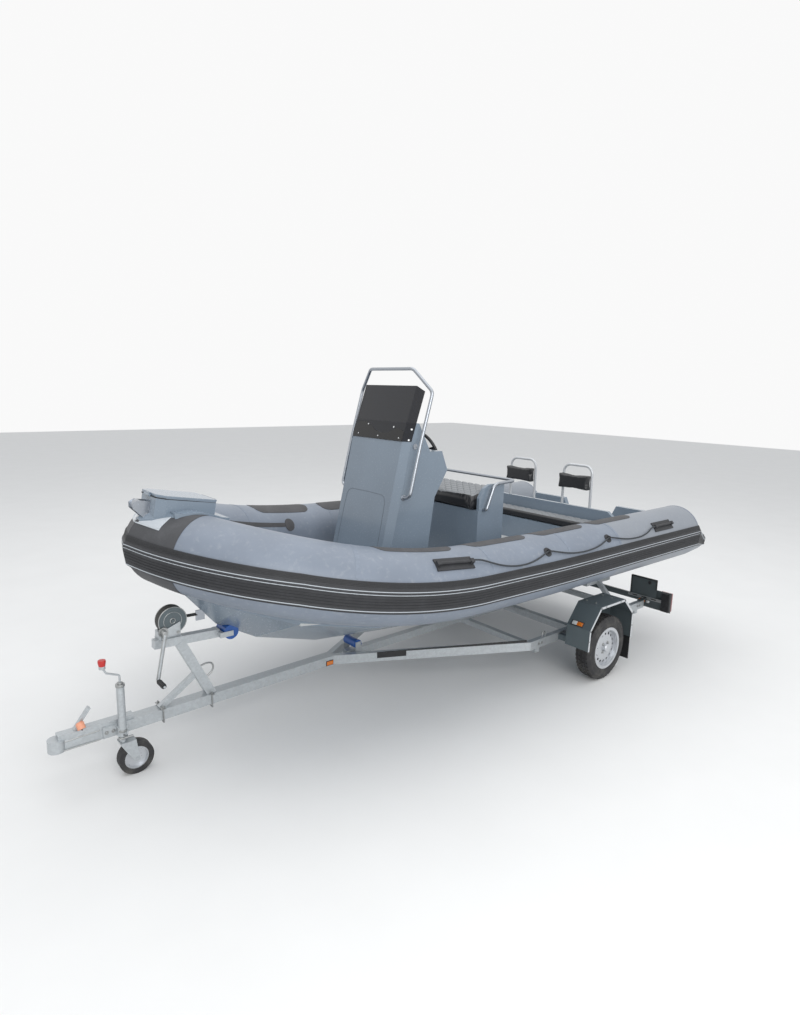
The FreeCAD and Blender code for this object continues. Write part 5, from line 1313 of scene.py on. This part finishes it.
def clamp_bolt(x, top, low, half):
    """A square U bolt round both rails, with its nuts on a plate."""
    ends = ((half, top), (half, low), (-half, low), (-half, top))
    pieces = [wire("clamp_bar", [spot(x, y, z) for y, z in ends], 0.005)]
    for side in (1, -1):
        pieces.append(bolt("clamp_nut", spot(x, half * side, top - 14), (0, 0, 1), 0.011))
    plate = block("clamp_plate", spot(x, 0, top - 16), (0.03, half * 2 / 1000 + 0.03, 0.005))
    return pieces + [rounded(plate, 0.001, 1)]


# The loop behind the winch post and a lashing loop about its middle: ahead and up.
POST_LOOP = ((3120, 455), (3078, 462), (3040, 487), (3022, 520), (3030, 552), (3060, 566), (3100, 560),
             (3150, 545))
LASHING_LOOP = ((-22, -4), (-22, 26), (-14, 46), (14, 46), (22, 26), (22, -4))


class BOAT_OT_clamps(bpy.types.Operator):
    """Adds the U bolts, lashing loops and bolts of the trailer's frame"""

    bl_idname = "boat.clamps"
    bl_label = "Clamps and loops"

    def execute(self, context):
        pieces = []
        for x in (3060, 3392):
            pieces += clamp_bolt(x, 368, 258, 50)
        loop = [spot(x, 0, z) for x, z in POST_LOOP]
        pieces.append(wire("post_loop", loop, 0.006, kind="NURBS", section=4))
        for word, side in SIDES:
            for x, z in ((450, 389), (-480, 390)):
                hook = [spot(x + ahead, 828 * side, z + rise) for ahead, rise in LASHING_LOOP]
                pieces.append(wire("lashing_loop", hook, 0.005, kind="NURBS", section=4))
            for x in (540, 500, -1030, -1070):
                pieces.append(bolt("frame_bolt", spot(x, RAIL_FACE * side, 352), (0, side, 0), 0.013))
            for x, z in ((-30, 335), (30, 335), (-30, 371), (30, 371)):
                pieces.append(bolt("axle_bolt", spot(x, RAIL_FACE * side, z), (0, side, 0), 0.013))
        fit(joined("frame_fasteners", pieces), "zinc_bolt")
        return {"FINISHED"}


def guard_rims(side):
    """Light flat bars along the mudguard's edge, on its outer face."""
    rims = []
    for (x0, z0), (x1, z1) in zip(GUARD_LINE, GUARD_LINE[1:]):
        start, end = spot(x0, GUARD_FACE * side, z0), spot(x1, GUARD_FACE * side, z1)
        ahead = (end - start).normalized()
        inward = Vector((-ahead.z, 0, ahead.x))
        if inward.dot(spot(GUARD_MIDDLE[0], GUARD_FACE * side, GUARD_MIDDLE[1]) - start) < 0:
            inward = -inward
        rims.append(plank("guard_rim", start + inward * 0.0095 - ahead * 0.002,
                          end + inward * 0.0095 + ahead * 0.002, 0.019, 0.0012, (0, side, 0)))
    return rims


# The front marker lamp's direction, and its parts: place ahead, out and up, size, and kind.
MARKER_OUT = (0.776, 0, 0.630)
MARKER_PARTS = (
    (297.5, 1050, 535, (0.118, 0.046, 0.010), "cases"),
    (301.5, 1075, 538.3, (0.052, 0.034, 0.010), "ambers"),
    (301.5, 1025, 538.3, (0.044, 0.034, 0.010), "whites"),
)


class BOAT_OT_guard_trim(bpy.types.Operator):
    """Adds the mudguards' light rims, their bolts and the front marker lamps"""

    bl_idname = "boat.guard_trim"
    bl_label = "Mudguard trim"

    def execute(self, context):
        rims, bolts = [], []
        lamps = {"cases": [], "ambers": [], "whites": []}
        for word, side in SIDES:
            rims += guard_rims(side)
            for x, z in ((100, 677), (-120, 677), (320, 420), (-336, 420)):
                bolts.append(bolt("guard_bolt", spot(x, (GUARD_FACE + 0.6) * side, z), (0, side, 0), 0.008))
            for x in (110, -130):
                for y in (1000, 1090):
                    bolts.append(bolt("guard_top_bolt", spot(x, y * side, 686.2), (0, 0, 1), 0.010))
            for x, y, z, size, kind in MARKER_PARTS:
                lamp = smooth(rounded(block("marker", (0, 0, 0), size), 0.003, 3), 30)
                lamps[kind].append(facing_out(lamp, spot(x, y * side, z), MARKER_OUT))
        fit(joined("guard_rims", rims), "light_frame")
        fit(joined("guard_bolts", bolts), "zinc_bolt")
        fit(joined("marker_cases", lamps["cases"]), "black_plastic")
        fit(joined("marker_ambers", lamps["ambers"]), "amber_lens")
        fit(joined("marker_whites", lamps["whites"]), "white_lens")
        return {"FINISHED"}


# The winch, ahead of the axle and up: its drum's middle, its frame's middle and its crank's shaft.
DRUM_X, DRUM_Z = 3300, 925
WINCH_X = 3322
SHAFT_X, SHAFT_Z = 3366, 865
GRIP_X, GRIP_Z = 3428, 570


def winch_body():
    """Two cheeks, bent low in front, with their feet, the floor and the nose."""
    parts = []
    for side in (1, -1):
        cheek = block("winch_cheek", spot(WINCH_X, 37 * side, 862), (0.136, 0.005, 0.098))
        for corner in cheek.data.vertices:
            if corner.co.z > 0.88:
                corner.co.z += -0.050 if corner.co.x > spot(WINCH_X, 0, 0).x else 0.004
        cheek.data.update()
        foot = block("winch_foot", spot(WINCH_X, 46 * side, 816), (0.136, 0.018, 0.005))
        parts += [rounded(cheek, 0.0015, 2), rounded(foot, 0.0012, 2)]
    parts.append(block("winch_floor", spot(WINCH_X, 0, 816), (0.15, 0.074, 0.006)))
    parts.append(rounded(block("winch_nose", spot(3384, 0, 842), (0.020, 0.069, 0.052)), 0.003, 2))
    return smooth(joined("winch_body", parts), 30)


class BOAT_OT_winch(bpy.types.Operator):
    """Details the winch: drum flanges, gear, shaft nuts, crank boss and grip"""

    bl_idname = "boat.winch"
    bl_label = "Winch"

    def execute(self, context):
        pieces, faces = [], []
        for side in (1, -1):
            middle = spot(DRUM_X, 31 * side, DRUM_Z)
            for radius, thickness in ((0.0905, 0.0034), (0.058, 0.0026), (0.016, 0.004)):
                pieces.append(smooth(hoop("drum_rim", middle, radius, thickness, "y", 96, 10), 60))
            faces.append(rod("drum_face", middle, 0.0885, 0.003, "y", 80))
            faces.append(rod("drum_shaft", middle + Vector((0, 0.003 * side, 0)), 0.011, 0.006, "y", 24))
        fit(joined("drum_faces", faces), "guard_plastic")
        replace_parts(fit(winch_body(), "galvanised"), "winch_frame")
        hub = spot(SHAFT_X, 39.5, SHAFT_Z)
        gear = rod("winch_gear", hub, 0.030, 0.006, "y", 48)
        raised(gear, lambda face: abs(face.normal.y) < 0.5 and int(around(face, hub) / 7.5) % 2 == 0, hub,
               1.09)
        pieces.append(smooth(gear, 25))
        for x, z in ((SHAFT_X, 862), (3270, 845)):
            for side in (1, -1):
                pieces.append(bolt("winch_nut", spot(x, 39.6 * side, z), (0, side, 0), 0.012))
        boss = rod("crank_boss", spot(SHAFT_X, 60, SHAFT_Z), 0.017, 0.036, "y", 32)
        pieces.append(smooth(rounded(boss, 0.003, 2), 30))
        blade = plank("crank_blade", spot(SHAFT_X, 76, SHAFT_Z), spot(GRIP_X, 84, 572), 0.026, 0.005,
                      (0, 1, 0))
        pieces.append(rounded(blade, 0.0018, 2))
        fit(joined("winch_details", pieces), "zinc_bolt")
        grip = rod("crank_grip", spot(GRIP_X, 144, GRIP_Z), 0.0145, 0.094, "y", 32)
        edit(grip, facing("y", 1), inset(0.004), extrude(y=0.004))
        for step in range(5):
            ring = hoop("grip_ring", spot(GRIP_X, 108 + step * 18, GRIP_Z), 0.0146, 0.0026, "y", 40, 8)
            grip = joined("crank_grip", [grip, smooth(ring, 60)])
        fit(smooth(grip, 40), "black_plastic")
        return {"FINISHED"}


# The jockey stand's tube, ahead of the axle and to port.
STAND = (3655, 74)
# Rods on the stand: name, place to port and up, radius, length, axis, sides, rounding.
STAND_RODS = (
    ("stand_collar", 74, 604, 0.0275, 0.018, "z", 48, 0.002),
    ("stand_cap", 74, 617, 0.017, 0.014, "z", 32, 0.002),
    ("clamp_ring", 74, 262, 0.0285, 0.014, "z", 48, 0.0015),
    ("clamp_ring", 74, 306, 0.0285, 0.014, "z", 48, 0.0015),
    ("clamp_screw", 112, 284, 0.0065, 0.05, "y", 20, 0),
    ("clamp_tee", 138, 284, 0.005, 0.085, "x", 16, 0),
)
KNOB_PROFILE = ((0.0, -0.029), (0.012, -0.029), (0.0165, -0.024), (0.0185, -0.010), (0.0225, 0.012),
                (0.0235, 0.022), (0.0215, 0.029), (0.012, 0.0305), (0.0, 0.0305))


class BOAT_OT_jockey_trim(bpy.types.Operator):
    """Adds the jockey stand's red knob, collar and clamp screw"""

    bl_idname = "boat.jockey_trim"
    bl_label = "Jockey stand trim"

    def execute(self, context):
        knob = spun("red_knob", KNOB_PROFILE, spot(3750, STAND[1], 762), 40, "z")
        fit(smooth(knob, 40), "red_knob")
        metal = []
        for name, y, z, radius, length, axis, sides, rounding in STAND_RODS:
            piece = rod(name, spot(STAND[0], y, z), radius, length, axis, sides)
            metal.append(smooth(rounded(piece, rounding, 2), 30) if rounding else smooth(piece, 40))
        fit(joined("jockey_metal", metal), "zinc_bolt")
        return {"FINISHED"}


class BOAT_OT_coupling_trim(bpy.types.Operator):
    """Adds the coupling's lips, bolts and the capped plug"""

    bl_idname = "boat.coupling_trim"
    bl_label = "Coupling trim"

    def execute(self, context):
        metal = []
        for side in (1, -1):
            for name, places in (("coupling_lip", ((3775, 32, 326), (3900, 31, 322), (3985, 30, 316))),
                                 ("coupling_foot_lip", ((3775, 34, 266), (3985, 36, 266)))):
                metal.append(wire(name, [spot(x, y * side, z) for x, y, z in places], 0.004, section=4))
        for x in (3700, 3740):
            for side in (1, -1):
                metal.append(bolt("coupling_bolt", spot(x, 45 * side, 302), (0, side, 0), 0.013))
        fit(joined("coupling_metal", metal), "zinc_bolt")
        plug = rod("plug_cap", spot(3880, 34, 392), 0.024, 0.040, "z", 40, (28, 12, 0))
        edit(plug, lambda face: face.normal.z > 0.8, inset(0.006), extrude(z=0.006), inset(0.006))
        fit(smooth(rounded(plug, 0.002, 2), 35), "peach_plug")
        lead = [spot(3876, 30, 372), spot(3870, 24, 350), spot(3850, 14, 338)]
        fit(wire("plug_lead", lead, 0.005, section=4), "black_plastic")
        return {"FINISHED"}


# Bow and light board

# The skirt's width, half its length round the tube, how far past the centreline it is laid before it is cut
# there, and how far round its middle lies.
SKIRT_WIDTH, SKIRT_HALF, SKIRT_OVERLAP, SKIRT_MIDDLE = 0.190, 0.159, 0.028, 77
# The skirt's rounded lower edge: distance along the tube, degrees above its middle.
SKIRT_EDGE = ((5.19, 41.5), (5.12, 41.5), (5.05, 41.5), (4.99, 41.5), (4.981, 48), (4.982, 62), (4.986, 76),
              (4.99, 90), (4.993, 104), (4.995, 112))


class BOAT_OT_bow_skirt(bpy.types.Operator):
    """Lays the light moulded skirt of the bow step over the nose"""

    bl_idname = "boat.bow_skirt"
    bl_label = "Bow skirt"

    def execute(self, context):
        for word, side in SIDES:
            skin = SKINS[side]
            skirt = sheet_grid("bow_skirt_" + word, (SKIRT_WIDTH, SKIRT_HALF * 2), (20, 36))
            for point in skirt.data.vertices:
                if point.co.x < -0.03:
                    point.co.x += 0.012 * soft_edge(point.co.y, -SKIRT_HALF, SKIRT_HALF)
            modify(skirt, "SOLIDIFY", thickness=0.004, offset=1.0)
            for point in skirt.data.vertices:
                point.co.z += 0.0020
            laid(skirt, side, skin.length + SKIRT_OVERLAP - SKIRT_WIDTH / 2, SKIRT_MIDDLE)
            edge = [skin.place(along, degrees, 0.006) for along, degrees in SKIRT_EDGE]
            fit(smooth(at_centreline(skirt, side), 40), "light_gelcoat")
            bead = wire("skirt_bead_" + word, edge, 0.0045, kind="NURBS", section=4)
            fit(at_centreline(bead, side), "light_gelcoat")
        return {"FINISHED"}


# Turns the sloping bow step level about its lid's hinge, and the lid's lower face there.
LID_HINGE = Vector((2.34, 0, 1.756))
LEVEL = (Matrix.Translation(LID_HINGE) @ Matrix.Rotation(math.radians(9.5), 4, "Y")
         @ Matrix.Translation(-LID_HINGE))
LID_LOW = 1.7530
LID_CUT = 0.052


class BOAT_OT_lid_trim(bpy.types.Operator):
    """Adds the locker lid's dark gasket and its latch"""

    bl_idname = "boat.lid_trim"
    bl_label = "Locker lid trim"

    def execute(self, context):
        lid = soft_copy("bow_locker_lid", "lid_probe")
        lid.data.transform(LEVEL)
        low, high = bounds_of(lid)
        bpy.data.objects.remove(lid)
        front, rear, half = high.x - 0.014, low.x + 0.004, high.y - 0.004
        corners = ((rear, -half), (front - LID_CUT, -half), (front, -half + LID_CUT), (front, half - LID_CUT),
                   (front - LID_CUT, half), (rear, half))
        gasket = wire("lid_gasket", [(x, y, LID_LOW) for x, y in corners], 0.0032, closed=True, section=2)
        latch = block("lid_latch", (rear - 0.006, 0, LID_LOW - 0.012), (0.010, 0.038, 0.030))
        rounded(latch, 0.003, 2)
        for piece, finish, slot, body in ((gasket, "soft_black", "black_plastic", "locker_lid"),
                                          (latch, "stainless", "stainless", BOAT)):
            piece.data.transform(LEVEL.inverted())
            piece.data.update()
            fit(piece, finish, body)
        return {"FINISHED"}


# The light board's front and rear faces, behind the axle.
BOARD_FRONT, BOARD_REAR = -1215, -1241
# Flat bars on the board's front: kind, name, how far forward, from and to across and up, width, thickness
# and rounding.
BOARD_BARS = (
    ("blacks", "board_cap", 6, (664, 604), (936, 604), 0.014, 0.018, (0.005, 3)),
    ("blacks", "board_edge", 4, (664, 400), (664, 606), 0.010, 0.012, (0.003, 2)),
    ("blacks", "board_edge", 4, (936, 505), (936, 606), 0.010, 0.012, (0.003, 2)),
    ("metal", "board_bar", 8, (640, 404), (1000, 404), 0.030, 0.004, (0.001, 2)),
    # The three black strips on the bar are painted shade: they stand for the dark openings of its slots.
    ("blacks", "board_slit", 10.2, (690, 404), (745, 404), 0.010, 0.0012, None),
    ("blacks", "board_slit", 10.2, (790, 404), (845, 404), 0.010, 0.0012, None),
    ("blacks", "board_slit", 10.2, (890, 404), (945, 404), 0.010, 0.0012, None),
)
# Blocks on it: kind, name, forward, across, up, size, rounding.
BOARD_BLOCKS = (
    ("blacks", "lamp_housing", -6, 1040, 400, (0.036, 0.090, 0.186), (0.008, 3)),
    ("ambers", "board_amber", 12, 795, 366, (0.026, 0.060, 0.034), (0.008, 4)),
    ("whites", "board_white", 10, 862, 368, (0.018, 0.030, 0.026), (0.006, 3)),
)


class BOAT_OT_board_trim(bpy.types.Operator):
    """Adds the light board's black rims, lamp housings, amber lamps and reflectors"""

    bl_idname = "boat.board_trim"
    bl_label = "Light board trim"

    def execute(self, context):
        parts = {"blacks": [], "ambers": [], "whites": [], "reds": [], "metal": []}
        for word, side in SIDES:
            for kind, name, ahead, (y0, z0), (y1, z1), width, thickness, rounding in BOARD_BARS:
                bar = plank(name, spot(BOARD_FRONT + ahead, y0 * side, z0),
                            spot(BOARD_FRONT + ahead, y1 * side, z1), width, thickness, (1, 0, 0))
                parts[kind].append(rounded(bar, *rounding) if rounding else bar)
            for kind, name, ahead, y, z, size, rounding in BOARD_BLOCKS:
                lump = block(name, spot(BOARD_FRONT + ahead, y * side, z), size)
                parts[kind].append(rounded(lump, *rounding))
            for row in range(4):
                place = spot(BOARD_FRONT + 12.5, (1022 + (row % 2) * 36) * side, 352 + row * 32)
                socket = rod("housing_hole", place, 0.011, 0.004, "x", 24)
                parts["blacks"].append(edit(socket, facing("x", 1), inset(0.003), extrude(x=-0.003)))
            knob = rod("board_knob", spot(BOARD_FRONT + 6, 862 * side, 566), 0.017, 0.014, "x", 32)
            parts["blacks"].append(rounded(knob, 0.004, 3))
            for z in (455, 345):
                disc = rod("rear_reflector", spot(BOARD_REAR - 3, 800 * side, z), 0.030, 0.008, "x", 40)
                parts["reds"].append(rounded(disc, 0.002, 2))
            for y in (770, 900):
                place = spot(BOARD_REAR - 4.5, y * side, 400)
                parts["metal"].append(bolt("board_bolt", place, (-1, 0, 0), 0.009))
        for kind, finish, slot in (("blacks", "black_plastic", "black_plastic"),
                                   ("ambers", "amber_lens", "red_lens"), ("whites", "white_lens", "red_lens"),
                                   ("reds", "red_lens", "red_lens"), ("metal", "zinc_bolt", "galvanised")):
            fit(smooth(joined("board_" + kind, parts[kind]), 32), finish)
        return {"FINISHED"}


# Floor, lamps and camera

# Lamps: name, place, turn in degrees, size, power.
LAMPS = (
    ("sky", (0.0, 0.0, 9.0), (0, 0, 0), 12.0, 420.0),
    ("key", (4.0, 9.0, 5.0), (-61, 0, -24), 6.0, 420.0),
)
# The colour and strength of the light from all round, and of the backdrop that is seen.
SKY = ((0.92, 0.94, 0.97, 1), 0.75)
BACKDROP = ((0.95, 0.95, 0.95, 1), 1.0)
CAMERA_PLACE = (3.64, 3.92, 2.43)
CAMERA_YAW = -130.34
CAMERA_DIP = 10.63
CAMERA_ROLL = 1.41
FOCAL_PIXELS = 636.0
IMAGE_HEIGHT = 1015.0
SENSOR_WIDTH = 36.0


class BOAT_OT_stage(bpy.types.Operator):
    """Adds the floor, the soft studio lamps and the camera at the photograph's place"""

    bl_idname = "boat.stage"
    bl_label = "Stage"

    def execute(self, context):
        nothing_selected()
        bpy.ops.mesh.primitive_plane_add(size=context.scene.boat_stage.floor_size, location=(0, 0, 0))
        floor = settled("floor")
        floor.data.materials.append(floor_finish())
        for name, place, turn, size, power in LAMPS:
            bpy.ops.object.light_add(type="AREA", location=place, rotation=radians(turn))
            lamp = context.object
            lamp.name = name
            lamp.data.size = size
            lamp.data.energy = power
        context.scene.world = bpy.data.worlds.new("studio")
        light_world(context.scene.world)
        add_camera(context)
        context.scene.view_settings.view_transform = "Standard"
        return {"FINISHED"}


def add_camera(context):
    """The photograph's camera: place, direction, roll and lens."""
    yaw, dip, roll = radians((CAMERA_YAW, CAMERA_DIP, CAMERA_ROLL))
    ahead = Vector((math.cos(dip) * math.cos(yaw), math.cos(dip) * math.sin(yaw), -math.sin(dip)))
    right = ahead.cross(Vector((0, 0, 1))).normalized()
    up = right.cross(ahead)
    right, up = (right * math.cos(roll) + up * math.sin(roll), up * math.cos(roll) - right * math.sin(roll))
    bpy.ops.object.camera_add()
    camera = context.object
    turn = Matrix((right, up, -ahead)).transposed().to_4x4()
    camera.matrix_world = Matrix.Translation(CAMERA_PLACE) @ turn
    camera.data.sensor_width = SENSOR_WIDTH
    camera.data.lens = FOCAL_PIXELS * SENSOR_WIDTH / IMAGE_HEIGHT
    camera.data.clip_end = 200.0
    context.scene.camera = camera


def floor_finish():
    """Pale floor that keeps the boat's shadow."""
    finish = Finish("floor")
    return finish.shade(finish.mix(finish.noise(2.0, 3.0), (0.8, 0.8, 0.79, 1), (0.84, 0.84, 0.83, 1)), 0.9)


def light_world(world):
    """Even soft light; the camera, gloss and glass see a pale backdrop."""
    nodes = Nodes(world)
    seen, glossy, through = [nodes.node("ShaderNodeLightPath", output=ray) for ray in (
        "Is Camera Ray", "Is Glossy Ray", "Is Transmission Ray")]
    backdrop_seen = seen.math("MAXIMUM", glossy).math("MAXIMUM", through)
    sky, backdrop = [nodes.node("ShaderNodeBackground", {}, {"Color": colour, "Strength": strength})
                     for colour, strength in (SKY, BACKDROP)]
    mixed = nodes.node("ShaderNodeMixShader", {}, {0: backdrop_seen, 1: sky, 2: backdrop})
    nodes.node("ShaderNodeOutputWorld", {}, {"Surface": mixed})


class BOAT_PT_panel(bpy.types.Panel):
    """Lists the steps that build the boat"""

    bl_idname = "BOAT_PT_panel"
    bl_label = "Boat"
    bl_space_type = "VIEW_3D"
    bl_region_type = "UI"
    bl_category = "Boat"

    def draw(self, context):
        for step in STEPS:
            self.layout.operator(step.bl_idname)


STEPS = (
    BOAT_OT_stage,
    BOAT_OT_nodes,
    BOAT_OT_tube_trim,
    BOAT_OT_strake_beads,
    BOAT_OT_grab_lines,
    BOAT_OT_helm_cushion,
    BOAT_OT_bench_cushion,
    BOAT_OT_back_pads,
    BOAT_OT_tyres,
    BOAT_OT_wheel_fittings,
    BOAT_OT_screen,
    BOAT_OT_rail_feet,
    BOAT_OT_dash,
    BOAT_OT_panel_lines,
    BOAT_OT_rail_trim,
    BOAT_OT_clamps,
    BOAT_OT_guard_trim,
    BOAT_OT_winch,
    BOAT_OT_jockey_trim,
    BOAT_OT_coupling_trim,
    BOAT_OT_bow_skirt,
    BOAT_OT_lid_trim,
    BOAT_OT_board_trim,
)
SETTINGS = (
    ("boat_colours", BoatColours),
    ("boat_stage", BoatStage),
    ("boat_tubes", BoatTubes),
    ("boat_cushions", BoatCushions),
)


def register():
    for name, group in SETTINGS:
        bpy.utils.register_class(group)
        setattr(bpy.types.Scene, name, PointerProperty(type=group))
    for step in STEPS + (BOAT_PT_panel,):
        bpy.utils.register_class(step)


def unregister():
    for step in STEPS + (BOAT_PT_panel,):
        bpy.utils.unregister_class(step)
    for name, group in SETTINGS:
        delattr(bpy.types.Scene, name)
        bpy.utils.unregister_class(group)


def main():
    register()
    bpy.ops.boat.stage()
    bpy.ops.boat.nodes()
    bpy.ops.boat.tube_trim()
    bpy.ops.boat.strake_beads()
    bpy.ops.boat.grab_lines()
    bpy.ops.boat.helm_cushion()
    bpy.ops.boat.bench_cushion()
    bpy.ops.boat.back_pads()
    bpy.ops.boat.tyres()
    bpy.ops.boat.wheel_fittings()
    bpy.ops.boat.screen()
    bpy.ops.boat.rail_feet()
    bpy.ops.boat.dash()
    bpy.ops.boat.panel_lines()
    bpy.ops.boat.rail_trim()
    bpy.ops.boat.clamps()
    bpy.ops.boat.guard_trim()
    bpy.ops.boat.winch()
    bpy.ops.boat.jockey_trim()
    bpy.ops.boat.coupling_trim()
    bpy.ops.boat.bow_skirt()
    bpy.ops.boat.lid_trim()
    bpy.ops.boat.board_trim()


if __name__ == "__main__":
    main()
